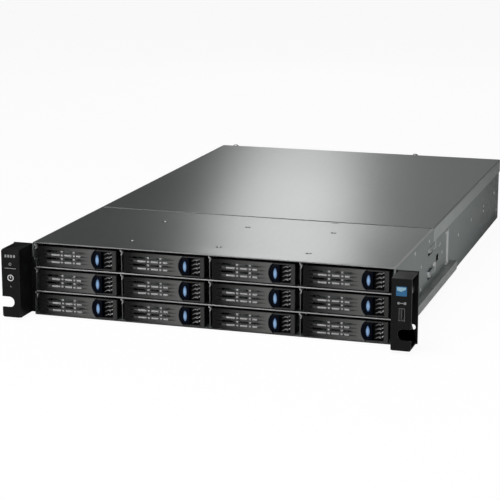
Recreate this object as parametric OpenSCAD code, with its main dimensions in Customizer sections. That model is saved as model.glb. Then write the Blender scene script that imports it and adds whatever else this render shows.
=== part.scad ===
// Rack-mounted network attached storage, 2U high, with twelve hot-swap drive bays.
// Millimetres. X is across the rack, Y runs from front to back, Z is up.
// The origin is at the bottom centre of the whole object. The drive fronts face -Y.

/* [Chassis] */
// Width over the main side walls
body_w = 429.6; // [429.4:0.1:430]
// Depth from the drive fronts to the rear panel
body_d = 705; // [690:5:740]
// Height from the floor to the top cover
body_h = 87.3; // [87:0.1:88]
// Thickness of the floor and the covers
sheet = 1.2; // [1:0.1:1.3]
// Thickness of the side walls
wall = 0.8; // [0.7:0.1:0.9]
// How deep the front part of each side wall is set back
recess = 2.0; // [1.6:0.1:2]
// Length of the set-back part of each side wall
recess_d = 315; // [300:5:330]

/* [Drive bays] */
// Distance from one bay to the next across the front
bay_pitch = 107; // [106.8:0.1:107]
// Distance from one bay to the next upwards
row_pitch = 28.95; // [28.8:0.05:29]
// Height of a drive front
front_h = 23.4; // [22:0.2:23.6]
// Thickness of the shelves between the rows
shelf_t = 1.3; // [1:0.1:1.4]
// Width of a disk
disk_w = 101.4; // [101:0.1:101.4]
// Length of a disk
disk_l = 147; // [140:1:147]
// Height of a disk
disk_h = 25.4; // [20:0.2:25.4]

/* [Levers and buttons] */
// Radius of the release button's curved edge
button_r = 14.6; // [14:0.1:14.8]
// Travel of a release button
button_travel = 1.5; // [1:0.1:1.8]
// Number of air slots in a lever
slot_n = 4; // [2:1:4]
// Distance from one air slot to the next
slot_pitch = 4.4; // [4:0.1:4.6]

/* [Rack ears] */
// Width over both rack ears
ear_w = 482.6; // [482:0.1:483]
// How far the ears stand in front of the drives
ear_d = 31.5; // [28:0.5:34]
// Height of the rack notch above the floor
notch_z = 21.4; // [20:0.1:23]
// Height of the rack screw above the floor
screw_z = 65.9; // [64:0.1:67]
// Distance between the left and right rack screws
screw_span = 465.1; // [464:0.1:466]

/* [Power and cooling] */
// Width of a power supply
psu_w = 73.5; // [70:0.5:74]
// Height of a power supply
psu_h = 39; // [38:0.5:39.5]
// Length of a power supply
psu_l = 185; // [150:5:190]
// Size of a fan's square frame
fan_s = 80; // [78:1:80]
// Number of blades on a fan
blade_n = 7; // [5:1:9]

/* [Covers] */
// Distance from the drive fronts to the seam between the covers
seam_d = 212; // [205:1:220]
// Height of the side lips on the covers
lip_h = 16.5; // [14:0.5:18]

/* [Hidden] */
COLS = 4;
ROWS = 3;
BAYS = COLS * ROWS;
FANS = 3;

$fn = 48;
eps = 0.01;
gap = 0.2;

front_y = -body_d / 2;
rear_y = body_d / 2;
half_w = body_w / 2;
side_in = half_w - recess;
lip_x = half_w + 0.1;
lip_t = 0.9;
cover_z = body_h - sheet;
bay_in_z = 1.5;
disk_gap = 0.1;
cage_d = 172;
board_y = front_y + 176;
board_t = 2;
fan_y = front_y + 236;
fan_t = 25.4;
fan_xs = [-135, 0, 135];
fan_z = 43;
blade_r = 36.5;
hub_r = 17;
main_z = 7.2;
main_t = 1.6;
cooler_xs = [-110, 30];
cooler_y = rear_y - 215;
cooler_z = main_z + main_t + 0.1;
cooler_base = 5;
psu_x = 136;
psu_zs = [2.6, 44.8];
handle_d = 31.5;
io_z = main_z + main_t + 0.2;
thumb_xs = [-197, 86.5];
thumb_z = 82.3;
vent_pitch = 8;
vent_r = 3.4;
vent_rows = 4;
vent_cols = 25;
pivot_x = 8.2;
pivot_y = 5.0;
lever_x0 = 4.8;
lever_t = 2.0;
button_cx = 86;
button_gap = 0.5;
button_back = 4.6;
bulkhead_y = button_back + button_travel + 0.9;
ear_in_x = 218.8;
ear_z0 = 3.3;
ear_h = 80.6;
ear_t = 2.4;
flange_y = front_y + 3;
flange_t = 2.5;
washer_in = 1.2;
notch_r = 6.4;
notch_x = 232.7;
power_x = -230.4;
power_z = 50.2;
usb_x = 230.6;
usb_z = 44;

// Box given by its lowest and highest corners
module block(low, high) {
    translate(low) cube(high - low);
}

// Cylinder along +Y from y0 to y1
module rod_y(x, z, r, y0, y1, sides = 48) {
    translate([x, y0, z]) rotate([-90, 0, 0]) cylinder(h = y1 - y0, r = r, $fn = sides);
}

// Cylinder along +Z from z0 to z1
module rod_z(x, y, r, z0, z1) {
    translate([x, y, z0]) cylinder(h = z1 - z0, r = r);
}

// Cylinder along +X from x0 to x1
module rod_x(y, z, r, x0, x1) {
    translate([x0, y, z]) rotate([0, 90, 0]) cylinder(h = x1 - x0, r = r, $fn = 24);
}

// Plate standing in the XZ plane with rounded corners
module rounded_plate_y(x0, z0, x1, z1, r, y0, y1) {
    union() {
        block([x0 + r, y0, z0], [x1 - r, y1, z1]);
        block([x0, y0, z0 + r], [x1, y1, z1 - r]);
        for (x = [x0 + r, x1 - r])
            for (z = [z0 + r, z1 - r])
                rod_y(x, z, r, y0, y1);
    }
}

function bay_col(i) = (i - 1) % COLS;
function bay_row(i) = ROWS - 1 - floor((i - 1) / COLS);
function bay_x(i) = (bay_col(i) - COLS / 2) * bay_pitch;
function bay_z(i) = bay_in_z + bay_row(i) * row_pitch;

// Moves a bay's own parts, drawn from its lower left front corner, to bay i
module at_bay(i) {
    translate([bay_x(i), front_y, bay_z(i)]) children();
}

// One side wall of the chassis, on the right
module side_wall() {
    set_z0 = 20;
    set_z1 = 66;
    set_y = front_y + recess_d;
    hook_y0 = front_y + 194;
    hook_y1 = front_y + 226;
    hook_h = 6;
    hook_zs = [31, 61];
    slot_drop = 6;
    slot_h = 5;
    lock_y = front_y + 254;
    lock_l = 16;
    lock_z = 41.5;
    lock_h = 8;
    difference() {
        union() {
            block([half_w - wall, front_y, sheet], [half_w, rear_y, set_z0]);
            block([half_w - wall, front_y, set_z1], [half_w, rear_y, cover_z - gap]);
            block([half_w - wall, set_y, set_z0], [half_w, rear_y, set_z1]);
            block([side_in - wall + 0.1, front_y, set_z0], [side_in, set_y, set_z1]);
            for (z = [set_z0 - wall, set_z1])
                block([side_in - wall + 0.1, front_y, z], [half_w, set_y, z + wall]);
            block([side_in - wall + 0.1, set_y, set_z0 - wall], [half_w, set_y + wall, set_z1 + wall]);
        }
        // slots under the lanced hooks, and the square lock hole
        for (z = hook_zs)
            block(
                [side_in - 3, hook_y0 + 2, z - slot_drop],
                [half_w + 1, hook_y1 - 2, z - slot_drop + slot_h]
            );
        block(
            [side_in - 3, lock_y - lock_l / 2, lock_z - lock_h / 2],
            [half_w + 1, lock_y + lock_l / 2, lock_z + lock_h / 2]
        );
    }
    // lanced hooks that hold the slide rail
    for (z = hook_zs) {
        block([side_in - eps, hook_y0, z], [half_w + 0.6, hook_y0 + 1, z + hook_h]);
        block([half_w - 0.4, hook_y0, z], [half_w + 0.6, hook_y1, z + hook_h]);
    }
}

// Rear wall, with windows for the power supplies, the ports, the slot covers and air
module rear_wall() {
    vent_x0 = -86;
    vent_z0 = 50;
    translate([0, rear_y, 0]) rotate([90, 0, 0]) linear_extrude(height = 1) difference() {
        translate([-half_w + wall, sheet]) square([body_w - 2 * wall, cover_z - gap - sheet]);
        for (z = psu_zs)
            translate([psu_x - 0.6, z - 0.6]) square([psu_w + 1.2, psu_h + 1.2]);
        translate([-42, io_z - 0.6]) square([158, 31.2]);
        for (k = [0:3])
            translate([-180 + 20.32 * k, 6]) square([12.4, 74]);
        for (col = [0:vent_cols - 1])
            for (row = [0:vent_rows - 1])
                translate([
                    vent_x0 + vent_pitch * col + (row % 2) * vent_pitch / 2,
                    vent_z0 + vent_pitch * row
                ]) circle(r = vent_r, $fn = 6);
    }
}

module chassis_pan() {
    color("silver") {
        block([-half_w, front_y, 0], [half_w, rear_y, sheet]);
        side_wall();
        mirror([1, 0, 0]) side_wall();
        rear_wall();
        // partition beside the power supplies
        block([psu_x - 2.4, rear_y - 200, sheet], [psu_x - 1.4, rear_y - 1, cover_z - gap]);
    }
}

module drive_cage() {
    shelf_x = side_in - wall - gap;
    color("silver") for (row = [1:ROWS - 1]) {
        z = row * row_pitch - shelf_t + 0.3;
        block([-shelf_x, front_y, z], [shelf_x, front_y + cage_d, z + shelf_t]);
    }
    // the dividers stand a hair clear of the shelves, so each sheet is a piece of its own
    color("gainsboro") for (row = [0:ROWS - 1])
        for (col = [-1:1]) {
            z0 = row == 0 ? sheet : row * row_pitch + 0.3 + disk_gap;
            z1 = row == ROWS - 1 ? cover_z - gap : (row + 1) * row_pitch - shelf_t + 0.3 - disk_gap;
            x = col * bay_pitch;
            block([x - 0.5, front_y + 5.5, z0], [x + 0.5, front_y + cage_d, z1]);
        }
}

// Circuit board behind the disks, with air slots and one plug for each disk
module drive_backplane() {
    board_x = 210;
    color("darkgreen") difference() {
        block([-board_x, board_y, 2], [board_x, board_y + board_t, 84]);
        for (i = [1:BAYS])
            translate([bay_x(i), 0, bay_z(i)])
                block([52, board_y - 1, 6], [96, board_y + board_t + 1, 20]);
    }
    color("dimgray") for (i = [1:BAYS])
        translate([bay_x(i), 0, bay_z(i)])
            block([12, board_y - 10.6, 0.8], [41.6, board_y, 3.8]);
}

// Top sheet and side lips of a cover from y0 to y1
module cover_shell(y0, y1) {
    outer_x = lip_x + lip_t;
    block([-outer_x, y0, cover_z], [outer_x, y1, body_h]);
    for (side = [-1, 1])
        translate([side * (lip_x + lip_t / 2), 0, 0])
            block([-lip_t / 2, y0, body_h - lip_h - sheet], [lip_t / 2, y1, cover_z + eps]);
}

// Screw head on the outside of a cover's right lip
module lip_screw(depth, z) {
    rod_x(front_y + depth, z, 2, lip_x + lip_t, lip_x + lip_t + 0.7);
}

module front_cover() {
    hole_r = 2.2;
    color("slategray") difference() {
        cover_shell(front_y, front_y + seam_d - gap);
        for (x = [-bay_pitch, 0, bay_pitch])
            for (d = [39, 150])
                rod_z(x, front_y + d, hole_r, cover_z - 1, body_h + 1);
    }
}

module rear_cover() {
    tab_t = 1.2;
    tab_half = 13;
    color("slategray") {
        cover_shell(front_y + seam_d + gap, rear_y + gap + tab_t);
        difference() {
            for (x = thumb_xs)
                block([x - tab_half, rear_y + gap, 75], [x + tab_half, rear_y + gap + tab_t, cover_z + eps]);
            for (x = thumb_xs)
                rod_y(x, thumb_z, 2.4, rear_y - 1, rear_y + 3);
        }
        for (side = [0, 1]) mirror([side, 0, 0])
            for (depth = [246, 520])
                lip_screw(depth, 76.5);
    }
}

// Thumbscrew that holds the rear cover, on an axis along Y
module cover_thumbscrew(x) {
    head_y = rear_y + gap + 1.2 + 0.2;
    color("silver") union() {
        rod_y(x, thumb_z, 5.8, head_y + 3, head_y + 9);
        rod_y(x, thumb_z, 4.2, head_y, head_y + 3);
        rod_y(x, thumb_z, 1.9, rear_y + gap + 0.1, head_y);
    }
}

// Right rack ear: a channel open on its outer side, with a flange for the rack rail
module rack_ear() {
    out_x = ear_w / 2;
    plate_y = front_y - ear_d;
    corner_r = 2.5;
    top_z = ear_z0 + ear_h;
    skin = 1.8;
    arm_z0 = 24;
    arm_z1 = 62;
    hole_r = 3.3;
    hole_x = screw_span / 2;
    difference() {
        union() {
            rounded_plate_y(ear_in_x, ear_z0, out_x, top_z, corner_r, plate_y, plate_y + ear_t);
            block([ear_in_x, plate_y + 1, ear_z0 + 1], [ear_in_x + skin, flange_y + 1, top_z - 1]);
            block([ear_in_x, plate_y + 1, ear_z0], [out_x - 1, flange_y + 1, ear_z0 + skin]);
            block([ear_in_x, plate_y + 1, top_z - skin], [out_x - 1, flange_y + 1, top_z]);
            block([ear_in_x - 2.6, flange_y, ear_z0 - 1], [out_x, flange_y + flange_t, top_z + 0.5]);
            // arm that is screwed to the set-back side wall
            block([side_in, flange_y, arm_z0], [ear_in_x, flange_y + flange_t, arm_z1]);
            block([side_in, flange_y, arm_z0], [half_w, flange_y + 38, arm_z1]);
        }
        // open notch for the driver, and the oblong rack hole behind it
        rod_y(notch_x, notch_z, notch_r, plate_y - 1, flange_y - 1);
        block([notch_x, plate_y - 1, notch_z - notch_r], [out_x + 1, flange_y - 1, notch_z + notch_r]);
        for (side = [-1, 1])
            rod_y(hole_x + side * hole_r, notch_z, hole_r, flange_y - 1, flange_y + 4);
        block(
            [hole_x - hole_r, flange_y - 1, notch_z - hole_r],
            [hole_x + hole_r, flange_y + 4, notch_z + hole_r]
        );
        rod_y(screw_span / 2, screw_z, 3.6, flange_y - 1, flange_y + 4);
        rod_y(screw_span / 2, screw_z, 4.8, flange_y + flange_t - washer_in, flange_y + 4);
    }
}

module rack_ear_left() {
    plate_y = front_y - ear_d;
    color("dimgray") {
        difference() {
            mirror([1, 0, 0]) rack_ear();
            rod_y(power_x, power_z, 4.5, plate_y - 1, plate_y + 4);
            rod_y(power_x, power_z - 10.2, 1.3, plate_y - 1, plate_y + 4);
        }
        // light guide behind the front plate
        rod_y(power_x, power_z - 10.2, 1.1, plate_y + 0.1, plate_y + 12.3);
    }
    // panel circuit board on two posts, with the power switch
    color("darkgreen") {
        block([-239, plate_y + 13, 33], [-223, plate_y + 14.6, 72]);
        block([power_x - 3, plate_y + 10, power_z - 3], [power_x + 3, plate_y + 13, power_z + 3]);
        for (z = [35.5, 69.5])
            rod_y(power_x, z, 1.6, plate_y + ear_t, plate_y + 13);
    }
}

module rack_ear_right() {
    plate_y = front_y - ear_d;
    color("dimgray") difference() {
        rack_ear();
        block([usb_x - 3.6, plate_y - 1, usb_z - 7.2], [usb_x + 3.6, plate_y + 4, usb_z + 7.2]);
    }
}

// Captive thumbscrew in an ear's flange, on an axis along Y
module rack_screw(x) {
    color("silver") union() {
        rod_y(x, screw_z, 5.6, flange_y - 16, flange_y - 4);
        rod_y(x, screw_z, 4.6, flange_y - 4, flange_y - 0.3);
        rod_y(x, screw_z, 3.0, flange_y - 0.3, flange_y + 12);
        rod_y(x, screw_z, 4.4, flange_y + flange_t - washer_in + gap, flange_y + flange_t - gap);
    }
}

module power_button() {
    plate_y = front_y - ear_d;
    color("black") union() {
        rod_y(power_x, power_z, 4.15, plate_y + 0.3, plate_y + ear_t + 1);
        rod_y(power_x, power_z, 5.4, plate_y + ear_t + 0.4, plate_y + ear_t + 1.4);
        rod_y(power_x, power_z, 1.6, plate_y + ear_t, plate_y + 8.6);
    }
}

module slide_rails() {
    rail_y0 = front_y + 8;
    rail_y1 = front_y + 337;
    rail_out = half_w + 7.7;
    rail_z0 = 8;
    rail_z1 = 19;
    color("silver") for (side = [0, 1]) mirror([side, 0, 0]) {
        block([half_w, rail_y0, rail_z1 - sheet], [rail_out, rail_y1, rail_z1]);
        block([rail_out - sheet, rail_y0, rail_z0], [rail_out, rail_y1, rail_z1]);
        block([half_w, rail_y0, rail_z0], [rail_out, rail_y1, rail_z0 + sheet]);
    }
}

// Finned block for a processor
module heatsink(x) {
    fin_n = 15;
    translate([x, cooler_y, cooler_z]) {
        block([-40, -45, 0], [40, 45, cooler_base]);
        for (k = [0:fin_n - 1])
            translate([-39 + k * 5.5, 0, 0]) block([0, -45, cooler_base - eps], [1, 45, 25]);
    }
}

module mainboard() {
    top = main_z + main_t;
    x0 = -205;
    x1 = 124;
    y0 = rear_y - 335;
    y1 = rear_y - 2;
    color("darkgreen") {
        block([x0, y0, main_z], [x1, y1, top]);
        for (x = [x0 + 10, x1 - 10])
            for (y = [y0 + 10, (y0 + y1) / 2, y1 - 12])
                rod_z(x, y, 3, sheet, main_z);
    }
    color("silver") for (x = cooler_xs) heatsink(x);
    // memory modules beside each processor
    color("seagreen") for (x = cooler_xs)
        for (side = [-1, 1])
            for (k = [0:2])
                translate([x + side * (46 + k * 5), cooler_y, cooler_z])
                    block([-0.7, -66, 0], [0.7, 66, 30]);
}

// Metal port shell that opens towards +Y, given by its centre, size and depth
module port_shell(x, z, w, h, depth, shell, open_w, open_h, mouth_y) {
    difference() {
        block([x - w / 2, mouth_y - depth, z], [x + w / 2, mouth_y, z + h]);
        block([x - open_w / 2, mouth_y - depth + shell, z + (h - open_h) / 2],
              [x + open_w / 2, mouth_y + 1, z + (h + open_h) / 2]);
    }
}

module io_ports() {
    mouth_y = rear_y + 0.8;
    plate_y = front_y - ear_d;
    color("silver") {
        // two network sockets
        for (x = [14, 34])
            port_shell(x, io_z, 16, 13.4, 20, 2, 11.8, 8.4, mouth_y);
        // two stacks of two USB sockets
        for (x = [56, 74])
            for (z = [io_z, io_z + 8]) {
                port_shell(x, z, 14.4, 7.2, 17, 2, 13, 5.6, mouth_y);
                block([x - 5.6, mouth_y - 16, z + 4], [x + 5.6, mouth_y - 1.2, z + 5.6]);
            }
        // display and serial sockets on plates
        for (x = [-22, 98]) {
            block([x - 15.5, mouth_y - 10, io_z], [x + 15.5, mouth_y - 0.6, io_z + 12.4]);
            rounded_plate_y(x - 8.6, io_z + 2.2, x + 8.6, io_z + 10.2, 2, mouth_y - 0.7, mouth_y + 5);
            for (side = [-1, 1])
                rod_y(x + side * 12.4, io_z + 6.2, 2.4, mouth_y - 0.7, mouth_y + 4, 6);
        }
        // shield plate around the ports
        difference() {
            block([-44, rear_y - 1.6, 7.9], [118, rear_y - 1.1, 40.4]);
            for (p = [[14, 8], [34, 8], [56, 7.2], [74, 7.2], [-22, 15.5], [98, 15.5]])
                block([p[0] - p[1] - 0.2, rear_y - 3, io_z - 0.2], [p[0] + p[1] + 0.2, rear_y, io_z + 15.5]);
        }
        // expansion slot covers
        for (k = [0:3])
            block([-183 + 20.32 * k, rear_y - 2, 4], [-164.6 + 20.32 * k, rear_y - 1.05, 83]);
        // front USB socket, standing upright in the right ear
        difference() {
            block([usb_x - 3.3, plate_y + 0.4, usb_z - 7], [usb_x + 3.3, plate_y + 16, usb_z + 7]);
            block([usb_x - 2.6, plate_y, usb_z - 6.3], [usb_x + 2.6, plate_y + 14, usb_z + 6.3]);
        }
        block([usb_x - 1.6, plate_y + 1.6, usb_z - 5.6], [usb_x + 0.2, plate_y + 14.5, usb_z + 5.6]);
    }
}

// Three square fan frames in a cross wall
module fan_tray() {
    half = fan_s / 2;
    color("dimgray") {
        for (x = fan_xs) {
            difference() {
                block([x - half, fan_y, fan_z - half], [x + half, fan_y + fan_t, fan_z + half]);
                rod_y(x, fan_z, blade_r + 1, fan_y - 1, fan_y + fan_t - 3);
                difference() {
                    rod_y(x, fan_z, blade_r + 1, fan_y + fan_t - 3 - eps, fan_y + fan_t + 1);
                    rod_y(x, fan_z, hub_r, fan_y + fan_t - 4, fan_y + fan_t + 2);
                    for (a = [45:90:315])
                        translate([x, 0, fan_z]) rotate([0, a, 0])
                            block([0, fan_y, -1.5], [half, fan_y + fan_t + 2, 1.5]);
                }
            }
            // axle that carries the rotor
            rod_y(x, fan_z, 1.5, fan_y + 6, fan_y + fan_t - 2);
        }
    }
    color("silver") difference() {
        block([-211, fan_y - 1.4, sheet], [211, fan_y - 0.2, cover_z - 1]);
        for (x = fan_xs)
            rod_y(x, fan_z, blade_r + 1, fan_y - 3, fan_y + 1);
    }
}

module fan_rotor(i) {
    x = fan_xs[i - 1];
    y0 = fan_y + 2;
    depth = 18;
    color("black") translate([x, y0, fan_z]) difference() {
        union() {
            rod_y(0, 0, hub_r, 0, depth);
            for (k = [0:blade_n - 1])
                rotate([0, k * 360 / blade_n, 0])
                    translate([hub_r - 2, depth / 2, 0]) rotate([38, 0, 0])
                        block([0, -8.5, -0.8], [blade_r - hub_r + 0.6, 8.5, 0.8]);
        }
        rod_y(0, 0, 1.55, 2, depth + 1);
    }
}

// Hot-swap power supply in its place above or below the other
module power_supply(i) {
    shell = 1;
    z0 = psu_zs[i - 1];
    y0 = rear_y - psu_l;
    y1 = rear_y + 0.8;
    inlet_x = psu_x + 20;
    inlet_z = z0 + 18.5;
    fan_x = psu_x + psu_w - 20.5;
    color("silver") difference() {
        block([psu_x, y0, z0], [psu_x + psu_w, y1, z0 + psu_h]);
        block([psu_x + shell, y0 + shell, z0 + shell],
              [psu_x + psu_w - shell, y1 - 2, z0 + psu_h - shell]);
        // inlet opening and the guard's air slots
        block([inlet_x - 13.8, y1 - 3, inlet_z - 10], [inlet_x + 13.8, y1 + 1, inlet_z + 10]);
        for (k = [-3:3])
            block([fan_x - sqrt(17 * 17 - 25 * k * k), y1 - 3, inlet_z + 5 * k - 1.8],
                  [fan_x + sqrt(17 * 17 - 25 * k * k), y1 + 1, inlet_z + 5 * k + 1.8]);
        // slot that the latch arm slides in
        block([psu_x + 1.1, y1 - 3, z0 + psu_h / 2 - 7.4], [psu_x + 6.2, y1 + 1, z0 + psu_h / 2 + 7.4]);
        // front air holes
        for (k = [0:5])
            block([psu_x + 8 + 10 * k, y0 - 1, z0 + 8], [psu_x + 14 + 10 * k, y0 + 2, z0 + 31]);
    }
    // mains inlet: an open cup with three pins
    color("black") difference() {
        block([inlet_x - 13.5, y1 - 18, inlet_z - 9.7], [inlet_x + 13.5, y1 + 0.6, inlet_z + 9.7]);
        block([inlet_x - 12, y1 - 16, inlet_z - 8], [inlet_x + 12, y1 + 1, inlet_z + 8]);
    }
    color("gainsboro") for (p = [[-7, 2], [7, 2], [0, -2.5]])
        block([inlet_x + p[0] - 1, y1 - 16.5, inlet_z + p[1] - 2],
              [inlet_x + p[0] + 1, y1 - 5.5, inlet_z + p[1] + 2]);
    // pull handle
    color("black") {
        handle_x = psu_x + 37.4;
        handle_y = rear_y + handle_d;
        block([handle_x - 2, y1, z0 + 2], [handle_x + 2, handle_y, z0 + 5.5]);
        block([handle_x - 2, y1, z0 + psu_h - 5.5], [handle_x + 2, handle_y, z0 + psu_h - 2]);
        block([handle_x - 2, handle_y - 4.5, z0 + 2], [handle_x + 2, handle_y, z0 + psu_h - 2]);
    }
}

// Squeeze tab that frees a power supply
module supply_latch(i) {
    z0 = psu_zs[i - 1] + psu_h / 2;
    x0 = psu_x + 1.4;
    y1 = rear_y + 0.8;
    color("seagreen") union() {
        block([x0, y1 - 12, z0 - 7], [x0 + 1.4, y1 + 18, z0 + 7]);
        block([x0 - 0.6, y1 + 15, z0 - 8], [x0 + 3, y1 + 20, z0 + 8]);
    }
}

module case_screws() {
    color("gainsboro") {
        // countersunk screws of the front cover
        for (x = [-bay_pitch, 0, bay_pitch])
            for (d = [39, 150])
                rod_z(x, front_y + d, 1.9, cover_z - 0.1, body_h - 0.3);
        // screws through the cover lips and the ear arms
        for (side = [0, 1]) mirror([side, 0, 0]) {
            for (p = [[104, 79.9], [185, 76.8]])
                lip_screw(p[0], p[1]);
            for (z = [32, 54])
                rod_x(front_y + 26, z, 3, half_w, half_w + 1);
            // rivets and small screws of the side wall
            for (p = [[384, 42.5], [478, 43], [576, 43], [664, 45], [687, 16]])
                rod_x(front_y + p[0], p[1], 1.8, half_w, half_w + 0.6);
            for (p = [[156, 52], [155, 24], [282, 42]])
                rod_x(front_y + p[0], p[1], 1.6, side_in, side_in + 0.6);
        }
        // screws of the processor coolers
        for (x = cooler_xs)
            for (dx = [-36.25, 36.25])
                for (dy = [-41, 41])
                    rod_z(x + dx, cooler_y + dy, 1.6, cooler_z + cooler_base, cooler_z + cooler_base + 1);
    }
}

// Drive carrier with its disk: front sleeve, finger grille, air lattice and side plates
module drive_carrier(i) {
    sleeve_x0 = 10.6;
    sleeve_x1 = 101.8;
    skin = 1.2;
    tray_x0 = 53.5 - disk_w / 2 - disk_gap - 0.5;
    tray_x1 = 53.5 + disk_w / 2 + disk_gap + 0.5;
    sleeve_y = 21;
    tray_y = sleeve_y + disk_gap;
    tray_end = tray_y + disk_l + 2;
    color("black") at_bay(i) {
        difference() {
            block([sleeve_x0, 3.4, 0], [sleeve_x1, sleeve_y, front_h]);
            block([sleeve_x0 + skin, 2, skin], [sleeve_x1 - skin, sleeve_y + 1, front_h - skin]);
        }
        // finger grille right of the button
        difference() {
            block([87, 0.2, 0], [sleeve_x1, 3.4 + eps, front_h]);
            block([88.4, -1, 1.6], [98, 5, front_h - 1.6]);
        }
        for (k = [0:3])
            block([88.3, 1, 3.6 + k * 4.9], [94.5, 3, 4.7 + k * 4.9]);
        block([94, 1, 1.5], [95.2, 3.5, front_h - 1.5]);
        // bulkhead behind the button and the grille
        block([69, bulkhead_y, skin - eps], [sleeve_x1 - skin + eps, bulkhead_y + 1, front_h - skin + eps]);
        // post, lugs and pin of the lever
        block([6, 9, 0], [sleeve_x0 + eps, sleeve_y, front_h]);
        for (z = [0.8, 20.2]) {
            rod_z(pivot_x, pivot_y, 2.1, z, z + 2.4);
            block([pivot_x - 2.1, pivot_y, z], [pivot_x + 2.1, 9 + eps, z + 2.4]);
        }
        rod_z(pivot_x, pivot_y, 1, 1, 22.4);
    }
    color("silver") at_bay(i) {
        // pierced plate behind the lever's slots
        difference() {
            block([sleeve_x0 + 1.3, 8.2, skin + 0.1], [68.8, 9, front_h - skin - 0.1]);
            for (col = [0:4])
                for (row = [0:3])
                    block([15 + 10.6 * col, 7, 2.6 + 4.9 * row], [23 + 10.6 * col, 10, 6 + 4.9 * row]);
        }
        // cross plate and side plates of the tray
        difference() {
            block([tray_x0, tray_y, 1], [tray_x1, tray_y + 0.9, 22]);
            block([16, tray_y - 1, 3], [96, tray_y + 2, 20]);
        }
        for (x = [tray_x0, tray_x1 - 0.5])
            block([x, tray_y, 1], [x + 0.5, tray_end, 22]);
    }
    color("gray") at_bay(i) {
        translate([53.5 - disk_w / 2, tray_y + 1.5, 0.2]) difference() {
            cube([disk_w, disk_l, disk_h]);
            // socket for the plug on the circuit board
            block([8, disk_l - 6, -1], [40, disk_l + 1, 4]);
        }
    }
}

// Pull lever in front of the carrier, with a hollow end around the button
module carrier_lever(i) {
    mid = front_h / 2;
    arc_r = button_r + button_gap;
    slot_h = 2.2;
    color("dimgray") at_bay(i) {
        difference() {
            block([lever_x0, 0.2, 0.1], [button_cx - 9.6, 0.2 + lever_t, front_h - 0.1]);
            rod_y(button_cx, mid, arc_r, -1, 6);
            for (k = [0:slot_n - 1])
                translate([0, 0, mid + (k - (slot_n - 1) / 2) * slot_pitch])
                    block([17, -1, -slot_h / 2], [58, 4, slot_h / 2]);
        }
        // eye that turns on the carrier's pin
        difference() {
            union() {
                rod_z(pivot_x, pivot_y, 2.2, 3.6, 19.8);
                block([pivot_x - 1.4, 0.2 + lever_t - eps, 3.6], [pivot_x + 1.4, pivot_y, 19.8]);
            }
            rod_z(pivot_x, pivot_y, 1.06, 3, 20.5);
        }
    }
}

// Domed release button with one straight edge
module release_button(i) {
    mid = front_h / 2;
    half_h = 10.2;
    right_x = 85.6;
    dome_r = 42;
    proud = 0.8;
    color("midnightblue") at_bay(i) intersection() {
        rod_y(button_cx, mid, button_r, -2, button_back, 160);
        block([70, -2, mid - half_h], [right_x, button_back, mid + half_h]);
        translate([78.5, dome_r - proud, mid]) sphere(r = dome_r, $fn = 200);
    }
}

chassis_pan();
drive_cage();
drive_backplane();
front_cover();
rear_cover();
rack_ear_left();
rack_ear_right();
rack_screw(-screw_span / 2);  // rack_screw_left
rack_screw(screw_span / 2);  // rack_screw_right
power_button();
slide_rails();
mainboard();
io_ports();
fan_tray();
case_screws();
cover_thumbscrew(thumb_xs[0]);  // cover_thumbscrew_left
cover_thumbscrew(thumb_xs[1]);  // cover_thumbscrew_right
for (i = [1:FANS]) fan_rotor(i);
for (i = [1:2]) power_supply(i);
for (i = [1:2]) supply_latch(i);
for (i = [1:BAYS]) drive_carrier(i);
for (i = [1:BAYS]) carrier_lever(i);
for (i = [1:BAYS]) release_button(i);
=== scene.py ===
"""Looks of a rack-mounted storage server with twelve drive bays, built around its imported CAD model."""

import math

import bmesh
import bpy
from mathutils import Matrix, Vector
from mathutils.geometry import tessellate_polygon


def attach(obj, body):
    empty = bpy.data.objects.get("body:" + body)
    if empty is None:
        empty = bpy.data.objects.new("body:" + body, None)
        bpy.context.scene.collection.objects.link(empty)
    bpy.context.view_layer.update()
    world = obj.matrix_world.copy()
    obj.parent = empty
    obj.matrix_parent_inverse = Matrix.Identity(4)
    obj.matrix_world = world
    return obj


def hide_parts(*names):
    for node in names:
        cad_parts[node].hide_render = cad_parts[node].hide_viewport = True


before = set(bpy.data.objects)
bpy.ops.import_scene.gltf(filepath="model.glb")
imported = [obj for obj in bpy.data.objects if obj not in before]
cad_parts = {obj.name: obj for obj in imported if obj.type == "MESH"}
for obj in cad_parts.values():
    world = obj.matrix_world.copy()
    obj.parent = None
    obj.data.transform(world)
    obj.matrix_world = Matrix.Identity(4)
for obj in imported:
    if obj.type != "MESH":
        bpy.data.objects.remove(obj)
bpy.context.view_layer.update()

# ---- sizes, in millimetres
MM = 0.001
TURN = 2 * math.pi
SHARP = math.radians(35)
WELD = 0.00001

FRONT_Y = -352.5
REAR_Y = 352.5
TOP_Z = 87.3
SHEET = 1.2
SEAM_Y = FRONT_Y + 212.0
SEAM_GAP = 0.8
STEP_L = 5.0
STEP_H = 1.0
LATCH_XS = (-92.0, 96.0)
RECESS_X = 212.8
WALL_X = 214.8
LIP_X = 215.8
LIP_T = 0.9
LIP_Z = 69.6
BEND_R = 1.6

COLUMNS = 4
ROWS = 3
BAYS = range(1, COLUMNS * ROWS + 1)
BAY_PITCH = 107.0
ROW_PITCH = 28.95
BAY_BASE = 1.5
FACE_H = 23.4
MID_Z = FACE_H / 2

LEVER_X = 4.8
LEVER_Y = (0.2, 2.6)
SLOT_X = (16.0, 58.6)
SLOT_TAPER = 11.0
SLOT_PITCH = 4.3
SLOT_H = 2.6
RIB_XS = (33.6, 48.6)
# stretch of the lever face, in mm, over which its painted sheen grows paler
SHEEN_X = (12, 76)
FIN_X = (86.8, 93.8)
PIVOT = (8.2, 5.0)
PIVOT_R = 2.2
PIVOT_Z = (3.6, 19.8)
PIN_R = 1.0

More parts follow.
